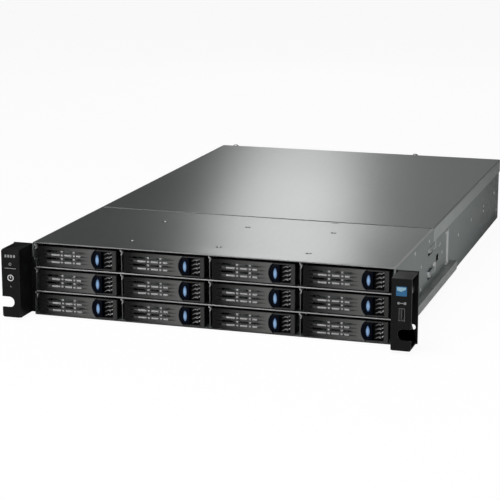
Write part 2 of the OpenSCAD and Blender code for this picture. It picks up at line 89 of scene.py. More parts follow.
BUTTON_CENTRE = (86.0, MID_Z)
BUTTON_R = 14.6
LEVER_ARC_R = BUTTON_R + 0.5
BUTTON_HALF = 10.2
BUTTON_EDGE_X = 84.4
BUTTON_BACK = 4.6
DOME_X = 79.4
DOME_HALF = (10.5, 13.4)
# the light-blue oval on each release button is a painted reflection with a faint glow of its own
HIGHLIGHT_AT = (79.2, MID_Z)
HIGHLIGHT_HALF = (2.5, 7.2)

SLEEVE_X = (10.6, 101.8)
SLEEVE_Y = (3.4, 21.0)
SKIN = 1.2
BULKHEAD_Y = 7.0

TRAY_X = (2.2, 104.8)
TRAY_Y = (21.1, 170.1)
TRAY_Z = (1.0, 22.0)
DISK_LOW = (2.8, 22.6, 0.2)
DISK_HIGH = (104.2, 169.6, 25.6)

EAR_FRONT_Y = -384.0
PRINT_T = 0.06
POWER_X = -230.4
POWER_Z = 50.2
LED_Z = 40.0
USB_X = 230.6
USB_Z = 44.0
MOUTH_Y = REAR_Y + 0.8
PORT_Z = 9.0
NETWORK_XS = (14, 34)
USB_XS = (56, 74)
SUPPLY_ZS = (2.6, 44.8)
SUPPLY_FAN_X = 189.0
INLET_X = 156.0
INLET_Z = 18.5
HANDLE_X = 173.4
HANDLE_Y = 384.0
COOLER_XS = (-110, 30)
RACK_SCREW_X = 232.55
RACK_SCREW_Z = 65.9

THUMB_XS = (-197.0, 86.5)
THUMB_Z = 82.3
DIMPLE_XS = (-107.0, 0.0, 107.0)
DIMPLE_YS = (FRONT_Y + 39.0, FRONT_Y + 150.0)

# profiles of knurled screws along Y: radius, place, knurled
THUMB_PROFILE = [(4.2, 0.4), (4.2, 2.4), (5.0, 2.5), (5.8, 3.2, True), (5.8, 8.6, True), (5.1, 9.4),
                 (3.4, 9.4), (3.2, 9.1)]
RACK_PROFILE = [(3.0, 0.0), (4.9, 0.0), (5.6, 0.8, True), (5.6, 10.6, True), (4.9, 11.4), (4.4, 11.4),
                (4.4, 15.2), (3.0, 15.4), (3.0, 27.0), (2.4, 28.0)]
RACK_SCREW_Y = -365.5

# side-wall screws: distance behind the front, and height
WALL_SCREWS = ((WALL_X, ((384, 42.5), (478, 43), (576, 43), (664, 45), (687, 16))),
               (RECESS_X, ((156, 52), (155, 24), (282, 42))),
               (LIP_X, ((104, 79.9), (185, 76.8))))
WALL_RIVETS = ((230, 73), (262, 55), (268, 56), (305, 62), (120, 40), (160, 66), (575, 36))


def bay_place(number):
    """The corner of a bay, from which its pieces are measured."""
    column = (number - 1) % COLUMNS
    row = ROWS - 1 - (number - 1) // COLUMNS
    return ((column - COLUMNS / 2) * BAY_PITCH, FRONT_Y, BAY_BASE + row * ROW_PITCH)


# ---- mesh workshop
def on_axis(across, up, along, axis):
    """A point given in the plane across an axis, and how far along that axis it is."""
    if axis == "x":
        return Vector((along, across, up))
    if axis == "y":
        return Vector((across, along, up))
    return Vector((across, up, along))


def arc(centre, radius, start, end, steps):
    """Points along part of a circle, from one angle in degrees to another."""
    points = []
    for k in range(steps + 1):
        a = math.radians(start + (end - start) * k / steps)
        points.append((centre[0] + radius * math.cos(a), centre[1] + radius * math.sin(a)))
    return points


def circle(centre, radius, sides=32):
    return arc(centre, radius, 0, 360, sides)[:-1]


def rectangle(low, high, radius=0.0, steps=5):
    """A rectangle's outline, with rounded corners where a radius is given."""
    if radius <= 0:
        return [(low[0], low[1]), (high[0], low[1]), (high[0], high[1]), (low[0], high[1])]
    outline = []
    outline += arc((high[0] - radius, low[1] + radius), radius, -90, 0, steps)
    outline += arc((high[0] - radius, high[1] - radius), radius, 0, 90, steps)
    outline += arc((low[0] + radius, high[1] - radius), radius, 90, 180, steps)
    outline += arc((low[0] + radius, low[1] + radius), radius, 180, 270, steps)
    return outline


def centred(middle, half, radius=0.0, steps=5):
    """A rectangle's outline from its middle and its half width and half height."""
    low = (middle[0] - half[0], middle[1] - half[1])
    high = (middle[0] + half[0], middle[1] + half[1])
    return rectangle(low, high, radius, steps)


def ribbon(path, half_width):
    """The outline of a strip of even width that follows a path."""
    left = []
    right = []
    for k, point in enumerate(path):
        before = Vector(path[max(k - 1, 0)])
        after = Vector(path[min(k + 1, len(path) - 1)])
        direction = (after - before).normalized()
        side = Vector((-direction.y, direction.x)) * half_width
        left.append(tuple(Vector(point) + side))
        right.append(tuple(Vector(point) - side))
    return left + right[::-1]


def add_plate(bm, outline, low, high, axis="y", holes=(), paint=0):
    """A flat plate with its outline across an axis, and holes right through it."""
    loops = [list(outline)] + [list(hole) for hole in holes]
    flat = [[Vector((u, v, 0)) for u, v in loop] for loop in loops]
    points = [point for loop in loops for point in loop]
    lows = [bm.verts.new(on_axis(u, v, low, axis)) for u, v in points]
    highs = [bm.verts.new(on_axis(u, v, high, axis)) for u, v in points]
    faces = []
    for triangle in tessellate_polygon(flat):
        faces.append(bm.faces.new([lows[k] for k in triangle]))
        faces.append(bm.faces.new([highs[k] for k in reversed(triangle)]))
    first = 0
    for loop in loops:
        count = len(loop)
        for k in range(count):
            a = first + k
            b = first + (k + 1) % count
            faces.append(bm.faces.new((lows[a], lows[b], highs[b], highs[a])))
        first += count
    for face in faces:
        face.material_index = paint


def add_block(bm, low, high, paint=0):
    add_plate(bm, rectangle(low[:2], high[:2]), low[2], high[2], "z", paint=paint)


def bridge(bm, rings, paint=0):
    """A solid from rings of vertices: walls from each ring to the next, and both ends closed."""
    faces = [bm.faces.new(rings[0][::-1]), bm.faces.new(rings[-1])]
    for lower, upper in zip(rings, rings[1:]):
        for k in range(len(lower)):
            n = (k + 1) % len(lower)
            faces.append(bm.faces.new((lower[k], lower[n], upper[n], upper[k])))
    for face in faces:
        face.material_index = paint


def add_turned(bm, profile, centre, axis, sides=40, knurl=0.0, paint=0):
    """A turned solid: its profile is (radius, place along the axis, knurled or not) from end to end."""
    rings = []
    for radius, place, *rough in profile:
        ring_points = []
        for k in range(sides):
            a = TURN * k / sides
            r = radius - (knurl if any(rough) and k % 2 else 0.0)
            spot = on_axis(centre[0] + r * math.cos(a), centre[1] + r * math.sin(a), place, axis)
            ring_points.append(bm.verts.new(spot))
        rings.append(ring_points)
    bridge(bm, rings, paint)


def add_rod(bm, centre, radius, low, high, axis, sides=32, paint=0):
    add_turned(bm, [(radius, low), (radius, high)], centre, axis, sides, paint=paint)


def add_hull(bm, points, paint=0):
    """The convex solid round some points."""
    corners = [bm.verts.new(Vector(point)) for point in points]
    made = bmesh.ops.convex_hull(bm, input=corners)
    for item in made["geom"]:
        if isinstance(item, bmesh.types.BMFace):
            item.material_index = paint


def draft(bm, name, materials=()):
    """Turns mesh work in millimetres into a mesh object in metres."""
    bmesh.ops.dissolve_limit(bm, angle_limit=math.radians(0.5), use_dissolve_boundaries=False,
                             verts=bm.verts, edges=bm.edges, delimit={"MATERIAL"})
    bmesh.ops.recalc_face_normals(bm, faces=bm.faces)
    bmesh.ops.scale(bm, vec=(MM, MM, MM), verts=bm.verts)
    mesh = bpy.data.meshes.new(name)
    bm.to_mesh(mesh)
    bm.free()
    for material in materials:
        mesh.materials.append(material)
    item = bpy.data.objects.new(name, mesh)
    bpy.context.scene.collection.objects.link(item)
    return item


def soften(item, width):
    """Small rounded edges, as moulded and folded parts have."""
    bevel = item.modifiers.new("edges", "BEVEL")
    bevel.width = width * MM
    bevel.segments = 2
    bevel.limit_method = "ANGLE"
    bevel.angle_limit = SHARP
    bevel.harden_normals = True
    bevel.miter_outer = "MITER_ARC"


def shape(bm, name, materials, edges=0.25, cuts=None):
    """The finished mesh: cut, its edges softened, and shaded smooth."""
    item = draft(bm, name + "_draft", materials)
    cutter = None
    if cuts is not None:
        cutter = draft(cuts, name + "_cuts")
        carve = item.modifiers.new("cuts", "BOOLEAN")
        carve.operation = "DIFFERENCE"
        carve.solver = "EXACT"
        carve.object = cutter
        carve.use_self = True
    item.data.shade_smooth()
    item.data.set_sharp_from_angle(angle=SHARP)
    if edges > 0:
        soften(item, edges)
    graph = bpy.context.evaluated_depsgraph_get()
    mesh = bpy.data.meshes.new_from_object(item.evaluated_get(graph), preserve_all_data_layers=True,
                                           depsgraph=graph)
    mesh.name = name
    for used in (item, cutter):
        if used is not None:
            old = used.data
            bpy.data.objects.remove(used)
            bpy.data.meshes.remove(old)
    return mesh


def put(name, mesh, body, place=(0, 0, 0), stands_for=()):
    """One piece of the visual model, riding on a CAD body."""
    item = bpy.data.objects.new(name, mesh)
    item.location = Vector(place) * MM
    bpy.context.scene.collection.objects.link(item)
    bpy.context.view_layer.update()
    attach(item, body)
    if stands_for:
        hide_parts(*stands_for)
    return item


# ---- material workshop
def fill(node, **values):
    """Sets a node's inputs by their names, with underscores for spaces."""
    for name, value in values.items():
        node.inputs[name.replace("_", " ")].default_value = value
    return node


class Finish:
    """A node material in the making."""

    def __init__(self, name):
        self.material = bpy.data.materials.new(name)
        self.material.use_nodes = True
        self.tree = self.material.node_tree
        self.tree.nodes.clear()
        self.shader = self.add("ShaderNodeBsdfPrincipled")
        output = self.add("ShaderNodeOutputMaterial")
        self.join(self.shader.outputs[0], output.inputs["Surface"])
        self.place = self.add("ShaderNodeTexCoord").outputs["Object"]

    def add(self, kind, **values):
        return fill(self.tree.nodes.new(kind), **values)

    def join(self, source, target):
        self.tree.links.new(source, target)

    def stretched(self, scale):
        node = self.add("ShaderNodeMapping", Scale=scale)
        self.join(self.place, node.inputs["Vector"])
        return node.outputs[0]

    def grain(self, scale, detail=4.0, roughness=0.55, stretch=(1, 1, 1)):
        node = self.add("ShaderNodeTexNoise", Scale=scale, Detail=detail, Roughness=roughness)
        self.join(self.stretched(stretch), node.inputs["Vector"])
        return node.outputs["Fac"]

    def cells(self, scale, stretch=(1, 1, 1)):
        node = self.add("ShaderNodeTexVoronoi", Scale=scale)
        self.join(self.stretched(stretch), node.inputs["Vector"])
        split = self.add("ShaderNodeSeparateColor")
        self.join(node.outputs["Color"], split.inputs[0])
        return split.outputs[0]

    def remap(self, value, low, high, start=0.0, end=1.0):
        node = self.add("ShaderNodeMapRange", From_Min=start, From_Max=end, To_Min=low, To_Max=high)
        self.join(value, node.inputs["Value"])
        return node.outputs["Result"]

    def sum(self, first, second, operation="ADD"):
        node = self.add("ShaderNodeMath")
        node.operation = operation
        self.join(first, node.inputs[0])
        self.join(second, node.inputs[1])
        return node.outputs[0]

    def mixed(self, first, second):
        """The sum of two values, each given with the remapping that it goes through."""
        return self.sum(self.remap(*first), self.remap(*second))

    def tint(self, value, dark, light):
        """A blend from one colour to another; each is three numbers or a colour socket."""
        node = self.add("ShaderNodeMix")
        node.data_type = "RGBA"
        self.join(value, node.inputs["Factor"])
        for index, colour in ((6, dark), (7, light)):
            if isinstance(colour, bpy.types.NodeSocket):
                self.join(colour, node.inputs[index])
            else:
                node.inputs[index].default_value = (*colour, 1)
        return node.outputs[2]

    def edges(self, radius):
        """High on edges and corners, where paint and plating wear."""
        bent = self.add("ShaderNodeBevel", Radius=radius * MM)
        bent.samples = 4
        straight = self.add("ShaderNodeNewGeometry")
        dot = self.add("ShaderNodeVectorMath")
        dot.operation = "DOT_PRODUCT"
        self.join(bent.outputs[0], dot.inputs[0])
        self.join(straight.outputs["Normal"], dot.inputs[1])
        mask = self.remap(dot.outputs["Value"], 1, 0, 0.7, 0.98)
        return self.sum(mask, self.remap(self.grain(420, 3), 0.0, 1.5, 0.42, 0.75), "MULTIPLY")

    def along(self, axis, start, end, low=0.0, high=1.0):
        """Changes evenly along one axis of the piece, between two places in mm."""
        split = self.add("ShaderNodeSeparateXYZ")
        self.join(self.place, split.inputs[0])
        return self.remap(split.outputs[axis], low, high, start * MM, end * MM)

    def relief(self, height, distance, strength=0.5):
        node = self.add("ShaderNodeBump", Distance=distance * MM, Strength=strength)
        self.join(height, node.inputs["Height"])
        self.join(node.outputs[0], self.shader.inputs["Normal"])

    def colour(self, tone, edge=None, radius=0.5):
        """The colour, with another one laid over worn edges where it is given."""
        if edge is not None:
            tone = self.tint(self.edges(radius), tone, edge)
        self.join(tone, self.shader.inputs["Base Color"])

    def rough(self, socket):
        self.join(socket, self.shader.inputs["Roughness"])

    def shine(self, tone, strength):
        self.colour(tone)
        self.join(tone, self.shader.inputs["Emission Color"])
        fill(self.shader, Emission_Strength=strength)


def grey(level, tint=(1, 1, 1)):
    return tuple(level * t for t in tint)


def make_metal(name, dark, light, rough, grain_scale, stretch=(1, 1, 1), relief=0.02, edge=None,
               metallic=0.9):
    """Rolled, brushed or plated metal with streaks, smudges and brighter edges."""
    look = Finish(name)
    streaks = look.grain(grain_scale, 6, 0.6, stretch)
    smudges = look.grain(9, 3, 0.5)
    look.colour(look.tint(streaks, dark, light), edge)
    look.rough(look.mixed((smudges, *rough, 0.3, 0.7), (streaks, -0.04, 0.04)))
    look.relief(streaks, relief)
    fill(look.shader, Metallic=metallic)
    return look.material


def make_galvanised(name, dark, light, rough, spangle=160.0, rear_shade=None):
    """Zinc-coated sheet with crystal spangle; it may be darkened between two depths, a painted shade
    deepening towards the rear.
    """
    look = Finish(name)
    crystals = look.cells(spangle, (1, 0.7, 1.2))
    clouds = look.grain(14, 5, 0.6)
    tone = look.tint(look.mixed((crystals, 0, 0.55), (clouds, 0, 0.45)), dark, light)
    if rear_shade is not None:
        start, end, amount = rear_shade
        tone = look.tint(look.along(1, start, end, 0.0, amount), tone, grey(0.08))
    look.colour(tone, grey(0.85), 0.4)
    look.rough(look.mixed((crystals, *rough), (clouds, -0.05, 0.08)))
    look.relief(crystals, 0.015, 0.3)
    fill(look.shader, Metallic=0.85)
    return look.material


def moulded(name, grain_scale=800):
    """What all moulded pieces start from: fine texture, slow drift, and the two together."""
    look = Finish(name)
    fine = look.grain(grain_scale, 3, 0.5)
    slow = look.grain(12, 3, 0.5)
    return look, fine, slow, look.mixed((fine, 0, 0.5), (slow, 0, 0.5))


def finish_moulded(look, fine, slow, rough, relief):
    look.rough(look.mixed((slow, *rough, 0.3, 0.7), (fine, -0.03, 0.03)))
    look.relief(fine, relief, 0.4)


def make_plastic(name, dark, light, rough, grain_scale=900.0, relief=0.03, edge=None, edge_radius=0.35,
                 coat=0.0, metallic=0.0, gloss=0.5):
    """Moulded plastic or paint: fine texture, slow colour drift, and paler edges from polish; on the ears
    partly a painted highlight.
    """
    look, fine, slow, mottle = moulded(name, grain_scale)
    look.colour(look.tint(mottle, dark, light), edge, edge_radius)
    finish_moulded(look, fine, slow, rough, relief)
    fill(look.shader, Metallic=metallic, Coat_Weight=coat, Coat_Roughness=0.08, Specular_IOR_Level=gloss)
    return look.material


def make_lever_paint():
    """Satin black moulding with a painted sheen that grows paler towards the end by the button."""
    look, fine, slow, mottle = moulded("lever_satin_black")
    plain = look.tint(mottle, grey(0.004), grey(0.010))
    # painted sheen: the paler colour stands for light falling on the lever's face
    painted_sheen = look.tint(mottle, (0.135, 0.134, 0.13), (0.18, 0.179, 0.175))
    look.colour(look.tint(look.along(0, *SHEEN_X), plain, painted_sheen), grey(0.14), 0.4)
    finish_moulded(look, fine, slow, (0.26, 0.36), 0.03)
    fill(look.shader, Specular_IOR_Level=0.12)
    return look.material


def make_fin_plastic():
    """Black moulding with a painted highlight that grows pale towards the rim end of each curl."""
    look = Finish("fin_black_painted_highlight")
    fine = look.grain(800, 3, 0.5)
    highlight_tone = look.tint(fine, grey(0.36), grey(0.5))
    # painted highlight: the curls are paler towards the rim end
    look.colour(look.tint(look.along(0, *FIN_X), grey(0.01), highlight_tone))
    look.rough(look.remap(fine, 0.2, 0.3))
    look.relief(fine, 0.02, 0.4)
    return look.material


def make_glow(name, dark, light, strength):
    """Tinted clear plastic with a little light of its own."""
    look = Finish(name)
    cloud = look.grain(300, 2, 0.5)
    look.shine(look.tint(cloud, dark, light), strength)
    look.rough(look.remap(cloud, 0.12, 0.25))
    look.relief(cloud, 0.02, 0.3)
    return look.material


def make_button_highlight():
    """Painted reflection on the release button: light blue, paler along its middle, with a faint glow of its
    own.
    """
    look = Finish("button_painted_highlight")
    squares = []
    for axis, middle, half in ((0, HIGHLIGHT_AT[0], HIGHLIGHT_HALF[0]), (2, HIGHLIGHT_AT[1], HIGHLIGHT_HALF[1])):
        off = look.along(axis, middle - half, middle + half, -1, 1)
        squares.append(look.sum(off, off, "MULTIPLY"))
    square = look.sum(*squares)
    cloudy = look.sum(square, look.remap(look.grain(600, 2, 0.5), -0.12, 0.12))
    tone = look.tint(look.remap(cloudy, 0, 1, 0.0, 0.85), (0.24, 0.39, 0.60), (0.015, 0.055, 0.16))
    look.shine(tone, 0.35)
    look.rough(look.remap(cloudy, 0.12, 0.22))
    return look.material


def make_board(name, dark, light):
    """Circuit board: solder mask over a maze of tracks."""
    look = Finish(name)
    tracks = look.add("ShaderNodeTexBrick", Scale=260, Mortar_Size=0.035, Color1=(*dark, 1),
                      Color2=(*light, 1), Mortar=(*grey(1.6, light), 1))
    look.join(look.place, tracks.inputs["Vector"])
    drift = look.grain(40, 4)
    look.colour(look.tint(look.remap(drift, 0.0, 0.6), tracks.outputs["Color"], dark))
    look.rough(look.remap(drift, 0.25, 0.45))
    look.relief(tracks.outputs["Fac"], 0.03, 0.4)
    return look.material


def make_cover_metal():
    """Satin dark-plated sheet: close brushing along the length, faint smudges, bright edges."""
    look = Finish("satin_cover_metal")
    brushing = look.grain(700, 5, 0.6, (1, 0.03, 1))
    flow = look.grain(4, 1, 0.4)
    specks = look.grain(260, 2, 0.5)
    tone = look.tint(brushing, (0.30, 0.31, 0.31), (0.42, 0.43, 0.425))
    tone = look.tint(look.remap(specks, 0, 0.12, 0.6, 0.8), tone, (0.22, 0.22, 0.22))
    look.colour(tone, (0.8, 0.8, 0.78), 0.8)
    look.rough(look.mixed((flow, 0.28, 0.31, 0.2, 0.8), (brushing, -0.015, 0.015)))
    look.relief(brushing, 0.002, 0.06)
    fill(look.shader, Metallic=0.92)
    return look.material


ZINC = ((0.33, 0.375, 0.365), (0.47, 0.525, 0.51), (0.34, 0.5))

COVER = make_cover_metal()
GALVANISED = make_galvanised("galvanised_sheet", *ZINC)
# the wall and the rear lips are painted darker towards the rear, as painted shade
WALL = make_galvanised("wall_zinc", *ZINC, rear_shade=(20, 330, 0.75))
LIP = make_galvanised("lip_zinc", (0.52, 0.56, 0.55), (0.70, 0.74, 0.73), (0.3, 0.42), 240,
                      rear_shade=(-60, 350, 0.6))
PALE_STEEL = make_plastic("pale_zinc_edge", grey(0.5), grey(0.62), (0.35, 0.5), 500, 0.01, metallic=0.25)
# cage sheet darkened to near black: painted shade inside the bays
CAGE_SHADE = make_galvanised("cage_sheet_painted_shade", (0.05, 0.052, 0.052), (0.09, 0.093, 0.093), (0.4, 0.55))
CAGE_EDGE = make_metal("sheared_edge", grey(0.42), grey(0.6), (0.28, 0.4), 300, (0.05, 1, 1), metallic=0.7)
# near-white finish: plated screws, pins, rivets and light-pipe tips; painted highlight on the side walls'
# tabs and steps; painted reflection on the lattice ribs
PLATING_AND_HIGHLIGHT = make_metal("plating_and_painted_highlight", grey(0.82), grey(0.98), (0.3, 0.42), 240, relief=0.01, metallic=0.1)
BRIGHT = make_metal("bright_plating", grey(0.6), grey(0.8), (0.14, 0.26), 240, relief=0.01)
DARK_STEEL = make_metal("dark_steel", grey(0.12), grey(0.2), (0.3, 0.42), 200, edge=grey(0.5))
RAIL = make_galvanised("rail_zinc", (0.45, 0.46, 0.46), (0.66, 0.67, 0.66), (0.28, 0.4), 240)
# ear edges: paler partly from wear, partly as a painted highlight along the rounded edges
EAR = make_plastic("ear_satin_black", (0.0055, 0.0056, 0.0058), (0.0095, 0.0098, 0.010), (0.34, 0.46), 700,
                   0.05, grey(0.11), 0.6, gloss=0.15)
LEVER = make_lever_paint()
BEZEL = make_plastic("bezel_black", grey(0.003), grey(0.007), (0.4, 0.5), 800, 0.03, grey(0.03), 0.3,
                     gloss=0.1)
RIM = make_plastic("rim_grey_black", (0.04, 0.04, 0.039), (0.06, 0.06, 0.058), (0.3, 0.4), 800, 0.02,
                   grey(0.14), 0.4, gloss=0.2)
FIN = make_fin_plastic()
NAVY = make_plastic("button_navy", (0.0003, 0.0008, 0.003), (0.0006, 0.002, 0.008), (0.3, 0.4), 500, 0.01,
                    (0.001, 0.004, 0.018), 0.3, gloss=0.06)
BUTTON_HIGHLIGHT = make_button_highlight()
LIGHT_WHITE = make_glow("light_white", (0.62, 0.64, 0.64), (0.8, 0.82, 0.82), 0.35)
LIGHT_GREEN = make_glow("light_green", (0.05, 0.42, 0.12), (0.1, 0.6, 0.2), 0.5)
LIGHT_AMBER = make_glow("light_amber", (0.5, 0.2, 0.02), (0.7, 0.32, 0.05), 0.4)
LATCH_GREEN = make_plastic("latch_green", (0.01, 0.12, 0.07), (0.02, 0.18, 0.11), (0.3, 0.42), 700, 0.04,
                           (0.1, 0.4, 0.3))
PRINT = make_plastic("light_print", (0.30, 0.31, 0.31), (0.42, 0.43, 0.43), (0.4, 0.55), relief=0.01)
BLUE_LABEL = make_plastic("blue_label", (0.004, 0.10, 0.26), (0.010, 0.17, 0.38), (0.2, 0.3), 600, 0.01,
                          coat=0.5)
PALE_LABEL = make_plastic("pale_blue_label", (0.22, 0.46, 0.62), (0.38, 0.6, 0.72), (0.2, 0.3), 600, 0.01,
                          coat=0.5)
BOARD = make_board("solder_mask_green", (0.004, 0.028, 0.016), (0.008, 0.055, 0.03))
DISK_METAL = make_metal("cast_aluminium", grey(0.3), grey(0.42), (0.35, 0.5), 320, relief=0.05,
                        edge=grey(0.7))
PAPER = make_plastic("label_paper", (0.62, 0.62, 0.6), (0.75, 0.75, 0.73), (0.5, 0.65), 500, 0.01)
BLACK = make_plastic("moulded_black", grey(0.012), grey(0.026), (0.35, 0.5), 700, 0.04, grey(0.12))
GOLD = make_metal("contact_gold", (0.72, 0.46, 0.14), (0.9, 0.62, 0.24), (0.18, 0.3), 400, relief=0.01)
ALUMINIUM = make_metal("fin_aluminium", grey(0.6), grey(0.78), (0.3, 0.42), 300, (1, 1, 0.1))


# ---- drive bays
def slot_heights():
    return [MID_Z + (k - 1.5) * SLOT_PITCH for k in range(4)]


def lever_outline():
    left = LEVER_X
    dip = math.degrees(math.asin((FACE_H / 2 - 0.1) / LEVER_ARC_R))
    outline = arc((left + 0.8, 0.9), 0.8, 180, 270, 4)
    outline += arc(BUTTON_CENTRE, LEVER_ARC_R, 180 + dip, 180 - dip, 28)
    outline += arc((left + 0.8, FACE_H - 0.9), 0.8, 90, 180, 4)
    return outline


def lever_slots():
    """Long air slots that run out into tapered grooves at both ends."""
    cuts = bmesh.new()
    start, end = SLOT_X
    before = -0.2
    behind = LEVER_Y[1] + 0.4
    for z in slot_heights():
        points = [(start - SLOT_TAPER, before, z), (end + SLOT_TAPER, before, z)]
        for x, y in ((start, before), (end, before), (start + 0.5, behind), (end - 0.5, behind)):
            points += [(x, y, z - 0.5 * SLOT_H), (x, y, z + 0.5 * SLOT_H)]
        add_hull(cuts, points)
    return cuts


def lever_mesh():
    bm = bmesh.new()
    add_plate(bm, lever_outline(), *LEVER_Y)
    add_plate(bm, circle(PIVOT, PIVOT_R, 28), PIVOT_Z[0], PIVOT_Z[1], "z",
              [circle(PIVOT, PIN_R + 0.06, 20)[::-1]])
    add_block(bm, (PIVOT[0] - 1.4, LEVER_Y[1] - 0.05, PIVOT_Z[0] + 0.2),
              (PIVOT[0] + 1.4, PIVOT[1] - PIN_R - 0.5, PIVOT_Z[1] - 0.2))
    return shape(bm, "lever", [LEVER], 0.28, lever_slots())


def frame_outline():
    """The C-shaped rim round the finger recess."""
    left = 77.4
    bar = 1.2
    inner = 97.2
    right = SLEEVE_X[1]
    return [(left, 0), (right, 0), (right, FACE_H), (left, FACE_H), (left, FACE_H - bar),
            (inner, FACE_H - bar), (inner, bar), (left, bar)]


def fin_path(z):
    """A curl that rises from the button's side to the rim."""
    path = []
    for k in range(13):
        t = k / 12
        x = FIN_X[0] + (FIN_X[1] - FIN_X[0]) * t
        path.append((x, z - 0.9 + 1.9 * math.sin(math.pi * (0.85 * t) ** 1.3)))
    return path


def bezel_mesh():
    bm = bmesh.new()
    left, right = SLEEVE_X
    add_plate(bm, rectangle((left, 0), (right, FACE_H), 0.8), *SLEEVE_Y, "y",
              [rectangle((left + SKIN, SKIN), (right - SKIN, FACE_H - SKIN), 0.5)[::-1]])
    add_plate(bm, frame_outline(), 0.2, SLEEVE_Y[0], paint=3)
    add_block(bm, (69.0, BULKHEAD_Y, SKIN), (right - SKIN, BULKHEAD_Y + 1, FACE_H - SKIN))
    for k in range(4):
        z = MID_Z + (k - 1.5) * 4.9
        add_plate(bm, ribbon(fin_path(z), 0.45), 1.4, BULKHEAD_Y, paint=1)
        add_turned(bm, [(0.62, BULKHEAD_Y), (0.62, 2.2), (0.35, 1.8)], (95.4, z + 1.6), "y", 14, paint=2)
    add_block(bm, (6.0, 9.0, 0.8), (left, SLEEVE_Y[1], 22.6))
    for low, high in ((0.8, 3.2), (20.2, 22.6)):
        add_plate(bm, circle(PIVOT, 2.1, 24), low, high, "z")
        add_block(bm, (PIVOT[0] - 2.0, PIVOT[1], low), (PIVOT[0] + 2.0, 9.1, high))
    add_rod(bm, PIVOT, PIN_R, 3.2, 20.2, "z", 20, paint=2)
    return shape(bm, "bezel", [BEZEL, FIN, PLATING_AND_HIGHLIGHT, RIM], 0.2)


def lattice_mesh():
    """Dark pierced screen behind the lever's slots, with near-white ribs on its face: a painted reflection of
    its plating.
    """
    bm = bmesh.new()
    rows = slot_heights()
    holes = []
    for x0, x1 in ((14.2, 31.0), (36.0, 46.4), (51.0, 66.6)):
        for z in (rows[1], rows[3]):
            holes.append(rectangle((x0, z - 2.4), (x1, z + 1.2), 0.4, 3)[::-1])
    add_plate(bm, rectangle((SLEEVE_X[0] + SKIN, SKIN), (68.8, FACE_H - SKIN)), 3.3, 3.9, "y", holes)
    for x in RIB_XS:
        add_plate(bm, centred((x, MID_Z), (1.15, MID_Z - 1.8), 0.3, 3), 2.75, 3.35, paint=1)
    for z in (rows[0], rows[2]):
        for x0, x1 in ((20.6, 30.6), (37.0, 45.4), (51.6, 57.0)):
            add_plate(bm, rectangle((x0, z - 2.0), (x1, z + 1.3), 0.5, 3), 2.8, 3.35, paint=1)
    return shape(bm, "lattice", [DARK_STEEL, PLATING_AND_HIGHLIGHT], 0.12)


def tray_mesh():
    """Folded steel tray: floor with openings, and two side rails with pressed beads."""
    bm = bmesh.new()
    sheet = 0.6
    x0, x1 = TRAY_X
    y0, y1 = TRAY_Y
    holes = []
    for k in range(4):
        start = y0 + 16 + k * 33
        holes.append(rectangle((x0 + 14, start), (x1 - 14, start + 22), 4)[::-1])
    floor = TRAY_Z[0] - 0.3
    add_plate(bm, rectangle((x0, y0), (x1, y1)), floor - 0.6, floor, "z", holes)
    for x in (x0, x1 - sheet):
        slots = []
        for k in range(5):
            start = y0 + 14 + k * 27
            slots.append(rectangle((start, 8), (start + 12, 12), 2)[::-1])
        add_plate(bm, rectangle((y0, floor), (y1, TRAY_Z[1]), 0.5), x, x + sheet, "x", slots)
    add_block(bm, (x0 + sheet, y0, floor), (x1 - sheet, y0 + sheet, TRAY_Z[1] - 3))
    return shape(bm, "tray", [GALVANISED], 0.12)


def disk_mesh():
    """A bare 3.5-inch disk: cast body, stepped lid with screws, plain label, board under it."""
    bm = bmesh.new()
    x0, y0, z0 = DISK_LOW
    x1, y1, z1 = DISK_HIGH
    z0 += 1.4
    add_plate(bm, rectangle((x0 + 1.2, y0), (x1 - 1.2, y1), 3), z0 + 2.2, z1 - 3.6, "z")
    add_plate(bm, rectangle((x0 + 2.4, y0 + 1.4), (x1 - 2.4, y1 - 10), 6), z1 - 3.6, z1 - 1.2, "z", paint=1)
    add_rod(bm, ((x0 + x1) / 2, y0 + 60), 40, z1 - 1.2, z1 - 0.5, "z", 64, paint=1)
    add_plate(bm, rectangle((x0 + 22, y1 - 52), (x1 - 22, y1 - 16), 1), z1 - 1.2, z1 - 0.9, "z", paint=2)
    add_plate(bm, rectangle((x0 + 4, y0 + 45), (x1 - 4, y1 - 2), 2), z0 + 0.8, z0 + 2.2, "z", paint=3)
    add_block(bm, (x0 + 12, y1 - 3, z0 + 2.2), (x0 + 54, y1 + 0.2, z0 + 7.4), paint=4)
    for x in (x0 + 5.5, x1 - 5.5):
        for y in (y0 + 5, y0 + 66, y1 - 14):
            add_turned(bm, [(1.9, z1 - 1.2), (1.9, z1 - 0.8), (1.5, z1 - 0.6)], (x, y), "z", 20, paint=1)
    return shape(bm, "disk", [DISK_METAL, BRIGHT, PAPER, BOARD, BLACK], 0.35)


def button_outline():
    """An arc on the lever's side and a straight edge on the other."""
    dip = math.degrees(math.asin(BUTTON_HALF / BUTTON_R))
    outline = arc(BUTTON_CENTRE, BUTTON_R, 180 + dip, 180 - dip, 30)
    return outline + [(BUTTON_EDGE_X, MID_Z + BUTTON_HALF), (BUTTON_EDGE_X, MID_Z - BUTTON_HALF)]


def button_height(x, z):
    """How far the button's dome stands towards the front at a point."""
    reach = ((x - DOME_X) / DOME_HALF[0]) ** 2 + ((z - MID_Z) / DOME_HALF[1]) ** 2
    return 2.0 - 2.8 * math.sqrt(max(0.0, 1 - min(reach, 1.0)))


